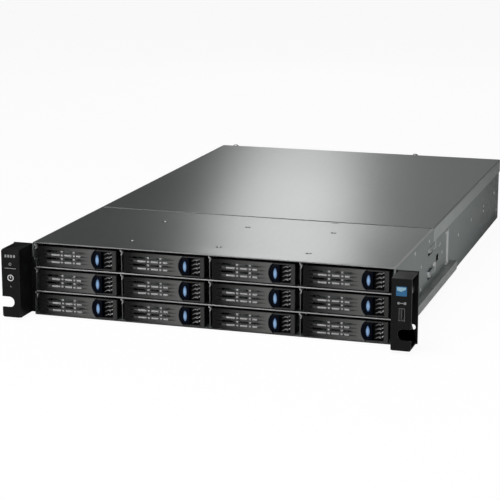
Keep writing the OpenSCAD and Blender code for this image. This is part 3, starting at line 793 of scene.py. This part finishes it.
def button_mesh():
    """Half-moon button: rings that step in from the outline, so its face is one smooth dome."""
    bm = bmesh.new()
    centre = Vector((DOME_X, MID_Z))
    outer = [Vector(point) for point in button_outline()]
    dense = []
    for k, point in enumerate(outer):
        after = outer[(k + 1) % len(outer)]
        pieces = max(1, round((after - point).length / 1.1))
        for j in range(pieces):
            dense.append(point.lerp(after, j / pieces))
    rings = [[bm.verts.new((p.x, BUTTON_BACK, p.y)) for p in dense],
             [bm.verts.new((p.x, button_height(p.x, p.y) + 0.5, p.y)) for p in dense]]
    for step in range(1, 12):
        scale = 1 - (step / 12) ** 1.3
        loop = []
        for p in dense:
            q = centre + (p - centre) * (0.985 * scale)
            loop.append(bm.verts.new((q.x, button_height(q.x, q.y), q.y)))
        rings.append(loop)
    bridge(bm, rings)
    add_button_highlight(bm)
    return shape(bm, "release_button", [NAVY, BUTTON_HIGHLIGHT], 0.0)


def add_button_highlight(bm):
    """Light-blue raised oval set upright in the button's dome: a painted reflection of a light in the glossy
    dome.
    """
    wide, tall = HIGHLIGHT_HALF
    sides = 36
    rings = []
    for step in range(6):
        tilt = math.radians(step * 17.5)
        lift = 0.55 * math.sin(tilt)
        loop = []
        for k in range(sides):
            a = TURN * k / sides
            x = HIGHLIGHT_AT[0] + wide * math.cos(tilt) * math.cos(a) * abs(math.cos(a)) ** 0.5
            z = HIGHLIGHT_AT[1] + tall * math.cos(tilt) * math.sin(a)
            loop.append(bm.verts.new((x, button_height(x, z) + 0.25 - lift, z)))
        rings.append(loop)
    back = [bm.verts.new((v.co.x, v.co.y + 0.5, v.co.z)) for v in rings[0]]
    bridge(bm, [back] + rings, 1)


def tab_mesh():
    """Kinked spring tabs at the top of each divider, bright against the dark gaps."""
    bm = bmesh.new()
    for number in BAYS:
        x, y, z = bay_place(number)
        left = x + 1.0
        top = z + FACE_H + 2.4
        path = [(left - 0.6, top), (left - 0.3, top - 1.6), (left + 1.5, top - 2.8), (left + 1.5, top - 3.9),
                (left + 0.4, top - 6.4)]
        add_plate(bm, ribbon(path, 0.42), y + 0.4, y + 5.2)
    return shape(bm, "divider_tabs", [PALE_STEEL], 0.08)


def build_bays():
    put("divider_tabs", tab_mesh(), "chassis")
    pieces = (("bezel", bezel_mesh(), "drive_carrier", "carrier_assembly", True),
              ("lattice", lattice_mesh(), "drive_carrier", "carrier_assembly", False),
              ("tray", tray_mesh(), "drive_carrier", "carrier_assembly", False),
              ("disk", disk_mesh(), "drive_carrier", "carrier_assembly", False),
              ("lever", lever_mesh(), "carrier_lever", "lever_plastic", True),
              ("button", button_mesh(), "release_button", "release_plastic", True))
    for number in BAYS:
        for name, mesh, part, slot, replaces in pieces:
            node = f"{part}_{number}"
            put(f"{name}_{number}", mesh, node, bay_place(number), (node,) if replaces else ())


# ---- side-wall details
def add_wedge(bm, side, out, depths, heights):
    """A slope from the recessed wall out to the given place, over two distances behind the front."""
    start, end = depths
    corners = ((RECESS_X, start), (out, end), (RECESS_X, end))
    wedge = [(side * x, FRONT_Y + depth) for x, depth in corners]
    add_plate(bm, wedge[::side], *heights, "z")


def wall_details_mesh():
    """Lanced tabs, rivets, the feet of the step and the ears' roots, on both side walls; the tabs, the step
    and its feet are painted near white as a painted highlight.
    """
    bm = bmesh.new()
    out = WALL_X + 0.5
    for side in (-1, 1):
        near, far = sorted((side * RECESS_X, side * out))
        root = sorted((side * 213.0, side * 218.7))
        add_block(bm, (root[0], FRONT_Y + 3.2, 6), (root[1], FRONT_Y + 5.2, 69.2), paint=1)
        for z, top in ((31, 41), (61, 69.3)):
            add_wedge(bm, side, out, (226.5, 231), (z, top))
            add_block(bm, (near, FRONT_Y + 217, z - 1.2), (far, FRONT_Y + 231, z + 0.2))
            add_block(bm, (near, FRONT_Y + 195.2, z - 1.4), (far, FRONT_Y + 206, z - 0.2))
        add_wedge(bm, side, WALL_X, (311.2, 315.1), (20.2, 65.8))
        for depth, z in WALL_RIVETS:
            base, tip = (RECESS_X, RECESS_X + 0.9) if depth < 315 else (WALL_X, out)
            profile = [(1.7, side * base), (1.6, side * (base + 0.5)), (1.0, side * tip)]
            add_turned(bm, profile, (FRONT_Y + depth, z), "x", 20)
        for z in (20.5, 63.5):
            add_block(bm, (near, FRONT_Y + 303, z), (far, FRONT_Y + 315, z + 1.6))
    return shape(bm, "wall_details", [PLATING_AND_HIGHLIGHT, BLACK], 0.15)


# ---- covers and screws
def cover_section():
    """The folded sheet seen from the end: a flat top and two side lips."""
    inner_r = max(BEND_R - SHEET, 0.4)
    inner_x = LIP_X - LIP_T
    outer = [(LIP_X, LIP_Z)]
    outer += arc((LIP_X - BEND_R, TOP_Z - BEND_R), BEND_R, 0, 90, 8)
    outer += arc((-LIP_X + BEND_R, TOP_Z - BEND_R), BEND_R, 90, 180, 8)
    outer += [(-LIP_X, LIP_Z), (-inner_x, LIP_Z)]
    under = TOP_Z - SHEET
    outer += arc((-inner_x + inner_r, under - inner_r), inner_r, 180, 90, 4)
    outer += arc((inner_x - inner_r, under - inner_r), inner_r, 90, 0, 4)
    outer += [(inner_x, LIP_Z)]
    return outer


def dimple_cuts(cuts):
    for x in DIMPLE_XS:
        for y in DIMPLE_YS:
            add_turned(cuts, [(3.3, TOP_Z - 2), (3.3, TOP_Z - 0.5), (3.7, TOP_Z + 0.02), (3.7, TOP_Z + 1)],
                       (x, y), "z", 40)


def add_cross_screw(bm, centre, radius, low, high, axis, out=1, paint=0):
    """Pan head with a rounded rim; the cross recess is cut separately."""
    top = high if out > 0 else low
    base = low if out > 0 else high
    step = top - base
    add_turned(bm, [(radius, base), (radius, base + step * 0.5), (radius * 0.86, base + step * 0.85),
                    (radius * 0.6, top)], centre, axis, 28, paint=paint)


def add_cross_cut(cuts, centre, size, low, high, axis):
    arm = size * 0.16
    for wide, tall in ((size * 0.5, arm), (arm, size * 0.5)):
        add_plate(cuts, centred(centre, (wide, tall)), low, high, axis)


def paint_lips(bm, bend=0):
    """The side lips have the plain zinc finish below the bend; where a slot is given, the bend is painted
    pale as a painted highlight along the edge.
    """
    for face in bm.faces:
        centre = face.calc_center_median()
        if abs(centre.x) > LIP_X - LIP_T - 0.1 and centre.z < TOP_Z - BEND_R:
            face.material_index = 1
        elif bend and abs(centre.x) > LIP_X - BEND_R and len(face.verts) == 4:
            face.material_index = bend
        elif not bend and len(face.verts) > 8 and centre.y < SEAM_Y + 2:
            face.material_index = 2


def front_cover_mesh():
    bm = bmesh.new()
    add_plate(bm, cover_section(), FRONT_Y, SEAM_Y - SEAM_GAP / 2)
    # the front cover's bend takes the pale zinc finish as a painted highlight
    paint_lips(bm, 2)
    cuts = bmesh.new()
    dimple_cuts(cuts)
    step_x = LIP_X - BEND_R - 0.4
    add_block(cuts, (-step_x, SEAM_Y - STEP_L, TOP_Z - STEP_H), (step_x, SEAM_Y + 1, TOP_Z + 1))
    for x in LATCH_XS:
        add_plate(cuts, centred((x, SEAM_Y - 9.5), (5, 1.5), 1.4), TOP_Z - 0.5, TOP_Z + 1, "z")
    return shape(bm, "front_cover_sheet", [COVER, WALL, PALE_STEEL], 0.22, cuts)


def rear_cover_mesh():
    bm = bmesh.new()
    add_plate(bm, cover_section(), SEAM_Y + SEAM_GAP / 2, REAR_Y + 1.4)
    paint_lips(bm)
    for x in THUMB_XS:
        add_plate(bm, rectangle((x - 13, 75), (x + 13, TOP_Z - SHEET + 0.2), 2), REAR_Y + 0.2, REAR_Y + 1.4,
                  "y", [circle((x, THUMB_Z), 2.3, 24)[::-1]])
    return shape(bm, "rear_cover_sheet", [COVER, LIP, BEZEL], 0.15)


def screw_bed_mesh():
    """Cross-head screws in the front cover's dimples, the ears' arms and the side walls."""
    bm = bmesh.new()
    cuts = bmesh.new()
    for x in DIMPLE_XS:
        for y in DIMPLE_YS:
            add_cross_screw(bm, (x, y), 3.1, TOP_Z - 1.6, TOP_Z - 0.3, "z", paint=1)
            add_cross_cut(cuts, (x, y), 3.0, TOP_Z - 0.9, TOP_Z, "z")
    for side in (-1, 1):
        for wall_x, group in WALL_SCREWS:
            for depth, z in group:
                centre = (FRONT_Y + depth, z)
                inner, outer = sorted((side * (wall_x - 0.4), side * (wall_x + 0.65)))
                add_cross_screw(bm, centre, 2.1, inner, outer, "x", side)
                low, high = sorted((side * (wall_x + 0.25), side * (wall_x + 1.0)))
                add_cross_cut(cuts, centre, 2.4, low, high, "x")
    return shape(bm, "case_screw_set", [PLATING_AND_HIGHLIGHT, BEZEL], 0.08, cuts)


def knurled_screw_mesh(name, profile, slot, shank=()):
    """A knurled head with a straight slot, along Y from its seat."""
    bm = bmesh.new()
    add_turned(bm, profile, (0, 0), "y", 64, 0.35)
    if shank:
        add_rod(bm, (0, 0), *shank, "y", 20)
    cuts = bmesh.new()
    add_plate(cuts, centred((0, 0), (7, 0.6)), *slot)
    return shape(bm, name, [BRIGHT], 0.12, cuts)


def build_covers():
    put("wall_details", wall_details_mesh(), "chassis")
    put("front_cover_sheet", front_cover_mesh(), "chassis", stands_for=("front_cover",))
    put("rear_cover_sheet", rear_cover_mesh(), "rear_cover", stands_for=("rear_cover",))
    put("case_screw_set", screw_bed_mesh(), "chassis", stands_for=("case_screws",))
    thumb = knurled_screw_mesh("cover_thumbscrew", THUMB_PROFILE, (8.3, 10.5), (1.9, -4.0, 0.5))
    rack = knurled_screw_mesh("rack_screw", RACK_PROFILE, (-1, 1.2))
    screws = (("cover_thumbscrew_left", "head", thumb, (THUMB_XS[0], REAR_Y + 1.2, THUMB_Z)),
              ("cover_thumbscrew_right", "head", thumb, (THUMB_XS[1], REAR_Y + 1.2, THUMB_Z)),
              ("rack_screw_left", "body", rack, (-RACK_SCREW_X, RACK_SCREW_Y, RACK_SCREW_Z)),
              ("rack_screw_right", "body", rack, (RACK_SCREW_X, RACK_SCREW_Y, RACK_SCREW_Z)))
    for node, part, mesh, place in screws:
        put(f"{node}_{part}", mesh, node, place, (node,))


# ---- ears and their controls
def pick_ear(centre):
    """The panel's circuit board sits behind the left ear's front plate."""
    on_board = -239.5 < centre.x < -222.5 and 32 < centre.z < 73
    return 1 if on_board and EAR_FRONT_Y + 9.5 < centre.y < -368 else 0


def ear_mesh(side):
    """The CAD ear with its front set back by the thickness of the print, and with rounder edges."""
    bm = bmesh.new()
    bm.from_mesh(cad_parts[f"rack_ear_{side}"].data)
    bmesh.ops.remove_doubles(bm, verts=bm.verts, dist=WELD)
    bmesh.ops.scale(bm, vec=(1 / MM, 1 / MM, 1 / MM), verts=bm.verts)
    for vertex in bm.verts:
        if vertex.co.y < EAR_FRONT_Y + 0.01:
            vertex.co.y += PRINT_T
    for face in bm.faces:
        face.material_index = pick_ear(face.calc_center_median())
    return shape(bm, f"ear_{side}", [EAR, BOARD], 0.7)


def power_button_mesh():
    bm = bmesh.new()
    add_turned(bm, [(5.4, 8.6), (5.4, 7.7), (4.1, 7.6), (4.1, 1.0), (3.6, 0.5), (0.4, 0.35)], (0, 0), "y", 48)
    add_plate(bm, circle((0, 0), 3.75, 48), 0.25, 0.6, "y", [circle((0, 0), 3.0, 48)[::-1]], 1)
    add_plate(bm, rectangle((-0.35, -0.2), (0.35, 1.9), 0.2), 0.2, 0.5, paint=1)
    return shape(bm, "power_button_cap", [BLACK, LIGHT_WHITE], 0.1)


def add_print(bm, outline, holes=(), paint=0, sunk=0.0):
    """A printed mark: a thin film on the front of an ear."""
    add_plate(bm, outline, EAR_FRONT_Y + sunk, EAR_FRONT_Y + 2 * PRINT_T, "y", holes, paint)


def left_marks_mesh():
    """Plain printed marks and the small light below the power button."""
    bm = bmesh.new()
    for k in range(4):
        x = POWER_X - 6.6 + k * 3.6
        add_print(bm, rectangle((x, 74.4), (x + 2.4, 77.6), 0.5, 3))
    add_print(bm, circle((POWER_X, 66.6), 1.7, 24), [circle((POWER_X, 66.6), 1.1, 24)[::-1]])
    add_print(bm, rectangle((POWER_X - 7.2, 61.2), (POWER_X + 7.2, 61.9)))
    add_turned(bm, [(1.15, EAR_FRONT_Y + 1.5), (1.15, EAR_FRONT_Y + 0.4), (0.8, EAR_FRONT_Y + 0.1)],
               (POWER_X, LED_Z), "y", 24, paint=1)
    return shape(bm, "left_ear_marks", [PRINT, LIGHT_WHITE], 0.0)


def right_marks_mesh():
    """Plain two-tone label and a small mark above the socket."""
    bm = bmesh.new()
    middle = 56.6
    add_print(bm, rectangle((224.0, 64.6), (235.8, 75.2), 0.8), sunk=0.02)
    add_print(bm, [(225.0, 70.8), (229.6, 69.4), (234.8, 72.0), (234.8, 74.3), (225.0, 74.3)], paint=1)
    add_print(bm, rectangle((227.4, middle - 0.45), (233.8, middle + 0.45), 0.3, 3), paint=2)
    add_print(bm, circle((226.9, middle), 1.4, 24), paint=2)
    add_print(bm, rectangle((232.6, middle - 1.3), (235.2, middle + 1.3), 0.3, 3), paint=2)
    return shape(bm, "right_ear_marks", [BLUE_LABEL, PALE_LABEL, PRINT], 0.0)


def usb_mesh():
    """Tongue, contacts and springs of the socket in the right ear."""
    bm = bmesh.new()
    low = (USB_X - 2.0, EAR_FRONT_Y + 1.4, USB_Z - 5.4)
    high = (USB_X - 0.4, EAR_FRONT_Y + 11.0, USB_Z + 5.4)
    add_block(bm, low, high)
    for k in range(4):
        z = USB_Z - 3.75 + 2.5 * k
        add_block(bm, (high[0] - 0.05, low[1] + 0.6, z - 0.5), (high[0] + 0.15, high[1], z + 0.5), 1)
    for z in (USB_Z - 2.8, USB_Z + 2.8):
        add_block(bm, (USB_X + 2.4, EAR_FRONT_Y + 1.2, z - 1.2), (USB_X + 2.8, EAR_FRONT_Y + 8, z + 1.2), 2)
    return shape(bm, "usb_tongue", [BLACK, GOLD, BRIGHT], 0.12)


def build_controls():
    put("usb_tongue", usb_mesh(), "chassis")
    put("power_button_cap", power_button_mesh(), "power_button",
        (POWER_X, EAR_FRONT_Y, POWER_Z), ("power_button",))
    for side in ("left", "right"):
        put(f"ear_{side}", ear_mesh(side), "chassis", stands_for=(f"rack_ear_{side}",))
    put("left_ear_marks", left_marks_mesh(), "chassis")
    put("right_ear_marks", right_marks_mesh(), "chassis")


# ---- carried-over CAD nodes
def dress(node, materials, edges=0.2, choose=None):
    """Gives a CAD node its materials, and soft edges that leave its mesh as it is."""
    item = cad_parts[node]
    item.data.materials.clear()
    for material in materials:
        item.data.materials.append(material)
    for polygon in item.data.polygons:
        centre = polygon.center / MM
        polygon.material_index = choose(centre, polygon.normal) if choose else 0
    weld = item.modifiers.new("weld", "WELD")
    weld.merge_threshold = WELD
    if edges > 0:
        soften(item, edges)


def pick_chassis(centre, normal):
    """Front edges behind the ears are dark; forward faces of each side wall, its step among them, are painted
    near white as a painted highlight.
    """
    if normal.y > 0.9:
        return 3
    if normal.y > -0.9:
        return 0
    if centre.y < FRONT_Y + 3:
        return 1
    return 2 if abs(centre.x) > 210 else 0


def pick_cage(centre, normal):
    """Sheared front edges are bright on the shelves, duller on the dividers behind them; all other faces take
    the cage sheet painted near black, as painted shade inside the bays.
    """
    if normal.y > -0.9 or centre.y > FRONT_Y + 8:
        return 0
    return 1 if centre.y < FRONT_Y + 3 else 2


def pick_main(centre, normal):
    """Solder mask on the board and its memory modules, aluminium coolers, black chips behind."""
    if centre.z < 10.6:
        return 0
    for cooler in COOLER_XS:
        if 45 < abs(centre.x - cooler) < 57.5 and centre.y < 206:
            return 0
    return 1 if centre.y < 250 else 2


def pick_port(centre, normal):
    """Dark socket in the right ear; bright sockets, black tongues and zinc plates at the back."""
    if centre.y < 0:
        return 1
    if centre.x < -100:
        return 2
    if abs(centre.y - REAR_Y + 1.35) < 0.3:
        return 3
    for x in USB_XS:
        for z in (PORT_Z, PORT_Z + 8):
            if abs(centre.x - x) < 5.7 and 3.9 < centre.z - z < 5.7 and centre.y < MOUTH_Y - 1:
                return 4
    return 0


def pick_supply(centre, normal, base):
    """Zinc shell, black handle and inlet, bright pins."""
    if centre.y > MOUTH_Y + 1:
        return 1
    x = centre.x - INLET_X
    z = centre.z - base - INLET_Z
    if centre.y < REAR_Y - 18 or abs(x) > 13.6 or abs(z) > 9.8:
        return 0
    for pin_x, pin_z in ((-7, 2), (7, 2), (0, -2.5)):
        if abs(x - pin_x) < 1.1 and abs(z - pin_z) < 2.1 and centre.y > MOUTH_Y - 15.9:
            return 2
    return 1


def dress_frame():
    dress("chassis_pan", [WALL, BLACK, PLATING_AND_HIGHLIGHT, GALVANISED], 0.15, pick_chassis)
    dress("drive_cage", [CAGE_SHADE, CAGE_EDGE, DARK_STEEL], 0.12, pick_cage)
    dress("drive_backplane", [BOARD, BLACK], 0.1)
    dress("slide_rails", [RAIL], 0.2)
    dress("mainboard", [BOARD, ALUMINIUM, BLACK], 0.1, pick_main)
    dress("io_ports", [BRIGHT, DARK_STEEL, RAIL, PALE_STEEL, BLACK], 0.1, pick_port)
    dress("fan_tray", [BLACK], 0.3)
    for number in (1, 2, 3):
        dress(f"fan_rotor_{number}", [BLACK], 0.2)
    for number, base in enumerate(SUPPLY_ZS, 1):
        dress(f"power_supply_{number}", [RAIL, BLACK, BRIGHT], 0.2,
              lambda centre, normal: pick_supply(centre, normal, base))
        dress(f"supply_latch_{number}", [LATCH_GREEN], 0.2)


# ---- details at the back
def add_boss(bm, centre, shoulder, top, sides, paint=0):
    """A low round head on the rear face; shoulder and top are (radius, height)."""
    rows = ((shoulder[0], -0.1), shoulder, top)
    add_turned(bm, [(radius, MOUTH_Y + height) for radius, height in rows], centre, "y", sides, paint=paint)


def add_fan_guard(bm):
    """Wire rings on four spokes, a hub, and a screw at each spoke's end."""
    middle = Vector((SUPPLY_FAN_X, INLET_Z))
    wire = 0.45
    low = MOUTH_Y + 0.2
    for radius in (5.2, 9.2, 13.2, 17.0):
        hole = circle(middle, radius - wire, 40)[::-1]
        add_plate(bm, circle(middle, radius + wire, 40), low, MOUTH_Y + 1.1, "y", [hole])
    add_boss(bm, middle, (3.4, 1.0), (2.6, 1.3), 32)
    for k in range(4):
        a = TURN * (k + 0.5) / 4
        way = Vector((math.cos(a), math.sin(a)))
        add_plate(bm, ribbon([middle + way * 3.0, middle + way * 21.0], wire), low - 0.3, low + 0.4)
        add_boss(bm, middle + way * 22.4, (2.0, 0.6), (1.2, 0.9), 24)


def supply_details_mesh():
    """Fan guard, inlet frame, status light, blank label and grip ribs of a supply."""
    bm = bmesh.new()
    add_fan_guard(bm)
    corners = ((-12, -8), (-12, 4.6), (-8.6, 8), (8.6, 8), (12, 4.6), (12, -8))
    inner = [(INLET_X + x, INLET_Z + z) for x, z in corners]
    outer = centred((INLET_X, INLET_Z), (13.9, 10.1), 1.2)
    add_plate(bm, outer, MOUTH_Y + 0.05, MOUTH_Y + 0.95, "y", [inner], 1)
    add_boss(bm, (INLET_X + 10, INLET_Z + 14.6), (1.6, 0.3), (0.9, 0.6), 24, 2)
    add_plate(bm, centred((INLET_X - 1, 4.5), (12, 2.1), 0.6), MOUTH_Y - 0.05, MOUTH_Y + 0.12, paint=3)
    for k in range(9):
        z = 8.4 + 2.8 * k
        add_block(bm, (HANDLE_X - 2.25, HANDLE_Y - 4.7, z), (HANDLE_X + 2.25, HANDLE_Y - 0.02, z + 1.3), 1)
    return shape(bm, "supply_details", [BRIGHT, BLACK, LIGHT_GREEN, PAPER], 0.08)


def add_network_socket(bm, x):
    """Contacts, insulator and two lights of a network socket."""
    low = PORT_Z + 2.5
    add_block(bm, (x - 5.8, MOUTH_Y - 17.9, low), (x + 5.8, MOUTH_Y - 13, low + 8.3), 1)
    for k in range(8):
        left = x - 3.83 + 1.02 * k
        points = [(left, MOUTH_Y - 13.2, low + 8.0), (left, MOUTH_Y - 2.2, low + 8.0),
                  (left, MOUTH_Y - 9.0, low + 4.2)]
        points += [(px + 0.5, py, pz) for px, py, pz in points]
        add_hull(bm, points, 2)
    for side, paint in ((-1, 3), (1, 4)):
        inner, outer = sorted((x + side * 4.0, x + side * 6.4))
        add_block(bm, (inner, MOUTH_Y - 0.3, PORT_Z + 11.2), (outer, MOUTH_Y + 0.15, PORT_Z + 12.6), paint)


def add_pin_socket(bm, x, rows, paint, pin_paint):
    """Insulator and pins in the mouth of a D-shaped socket."""
    mouth = MOUTH_Y + 5
    middle = PORT_Z + 6.2
    add_plate(bm, centred((x, middle), (7.6, 3.0), 1.6), mouth - 1.0, mouth + 0.15, paint=paint)
    for index, count in enumerate(rows):
        z = middle + (index - (len(rows) - 1) / 2) * 2.0
        for k in range(count):
            spot = (x + (k - (count - 1) / 2) * 2.3, z)
            add_turned(bm, [(0.5, mouth), (0.5, mouth + 0.3), (0.3, mouth + 0.35)], spot, "y", 12,
                       paint=pin_paint)


def port_details_mesh():
    """What shows in the sockets, and the beads and screws of the slot covers."""
    bm = bmesh.new()
    for x in NETWORK_XS:
        add_network_socket(bm, x)
    add_pin_socket(bm, -22, (5, 5, 5), 5, 1)
    add_pin_socket(bm, 98, (4, 5), 1, 2)
    cuts = bmesh.new()
    for k in range(4):
        x = -173.8 + 20.32 * k
        add_plate(bm, centred((x, 40), (3.4, 28), 3.3), REAR_Y - 1.1, REAR_Y - 0.35)
        add_cross_screw(bm, (x, 77.5), 2.9, REAR_Y - 1.1, REAR_Y + 0.7, "y")
        add_cross_cut(cuts, (x, 77.5), 3.2, REAR_Y + 0.1, REAR_Y + 1.5, "y")
    return shape(bm, "port_details", [PALE_STEEL, BLACK, GOLD, LIGHT_GREEN, LIGHT_AMBER, BLUE_LABEL], 0.06,
                 cuts)


def build_back():
    details = supply_details_mesh()
    for number, base in enumerate(SUPPLY_ZS, 1):
        put(f"supply_details_{number}", details, f"power_supply_{number}", (0, 0, base))
    put("port_details", port_details_mesh(), "chassis")


# ---- studio
LENS_MM = 122.03
AIM = Vector((49.68, -352.5, 95.94))
AZIMUTH = math.radians(17.4)
ELEVATION = math.radians(13.15)
DISTANCE = 1894.5


def set_up(name, data, place, towards):
    """Puts a camera or a light in the scene, facing along a direction."""
    item = bpy.data.objects.new(name, data)
    item.location = place
    item.rotation_euler = towards.to_track_quat("-Z", "Y").to_euler()
    bpy.context.scene.collection.objects.link(item)
    return item


def build_camera():
    data = bpy.data.cameras.new("camera")
    data.lens = LENS_MM
    data.sensor_width = 36.0
    data.clip_end = 60
    level = math.cos(ELEVATION)
    away = Vector((math.sin(AZIMUTH) * level, -math.cos(AZIMUTH) * level, math.sin(ELEVATION)))
    bpy.context.scene.camera = set_up("camera", data, (AIM + away * DISTANCE) * MM, -away)


def add_light(name, place, aim, size, power):
    """A soft oval light; its place, its aim and its size are in metres."""
    data = bpy.data.lights.new(name, "AREA")
    data.shape = "ELLIPSE"
    data.size, data.size_y = size
    data.energy = power
    set_up(name, data, place, Vector(aim) - Vector(place))


def split_rays(tree, others, camera, weigh=lambda ray: ray):
    """Shows one shader to the camera's own rays, and another to all others."""
    ray = tree.nodes.new("ShaderNodeLightPath").outputs["Is Camera Ray"]
    mix = tree.nodes.new("ShaderNodeMixShader")
    for index, source in enumerate((weigh(ray), others.outputs[0], camera.outputs[0])):
        tree.links.new(source, mix.inputs[index])
    return mix.outputs[0]


def build_world():
    """Pale to the camera, and dim in reflections, as a studio round the object would be."""
    world = bpy.data.worlds.new("studio")
    bpy.context.scene.world = world
    world.use_nodes = True
    tree = world.node_tree
    tree.nodes.clear()
    seen = fill(tree.nodes.new("ShaderNodeBackground"), Color=(1, 1, 1, 1), Strength=1.0)
    around = fill(tree.nodes.new("ShaderNodeBackground"), Color=(0.95, 0.98, 1.0, 1), Strength=0.075)
    output = tree.nodes.new("ShaderNodeOutputWorld")
    tree.links.new(split_rays(tree, around, seen), output.inputs[0])


def floor_material():
    """Pale and even to the camera, with the object's soft shadow; a plain pale floor in reflections."""
    look = Finish("pale_floor")
    cloud = look.grain(3, 3, 0.5)
    look.colour(look.tint(cloud, grey(0.84), grey(0.88)))
    look.rough(look.remap(cloud, 0.8, 0.95))
    glow = look.add("ShaderNodeEmission", Color=(1, 1, 1, 1), Strength=1.06)
    blend = split_rays(look.tree, look.shader, glow, lambda ray: look.remap(ray, 0.0, 0.88))
    look.join(blend, look.tree.nodes["Material Output"].inputs["Surface"])
    return look.material


def build_floor():
    half = 9000.0
    bm = bmesh.new()
    add_plate(bm, rectangle((-half, -half), (half, half)), -20.4, -0.4, "z")
    item = draft(bm, "floor", [floor_material()])


def build_studio():
    build_camera()
    build_world()
    build_floor()
    add_light("overhead", (-0.3, -0.9, 2.4), (0, 0, 0), (2.6, 2.2), 30)
    add_light("back_glow", (-0.585, 2.0, 0.85), (-0.05, -0.1, 0.1), (0.46, 0.9), 1.75)
    add_light("back_soft", (-0.2, 2.1, 0.75), (0, 0, 0.1), (0.8, 0.9), 0.36)
    add_light("front_fill", (-0.75, -2.05, 0.62), (-0.05, -0.35, 0.05), (0.9, 0.6), 7.5)
    add_light("right_fill", (1.2, -0.7, 0.52), (0.2, -0.2, 0.04), (0.7, 0.5), 0.8)
    add_light("right_front", (0.75, -3.2, 1.2), (0.15, -0.3, 0.05), (0.5, 0.5), 13)
    add_light("edge_light", (0.85, 2.4, 0.85), (0.2, 0, 0.08), (0.6, 0.5), 0.6)
    view = bpy.context.scene.view_settings
    view.view_transform = "Standard"
    view.look = "None"


build_bays()
build_covers()
build_controls()
dress_frame()
build_back()
build_studio()
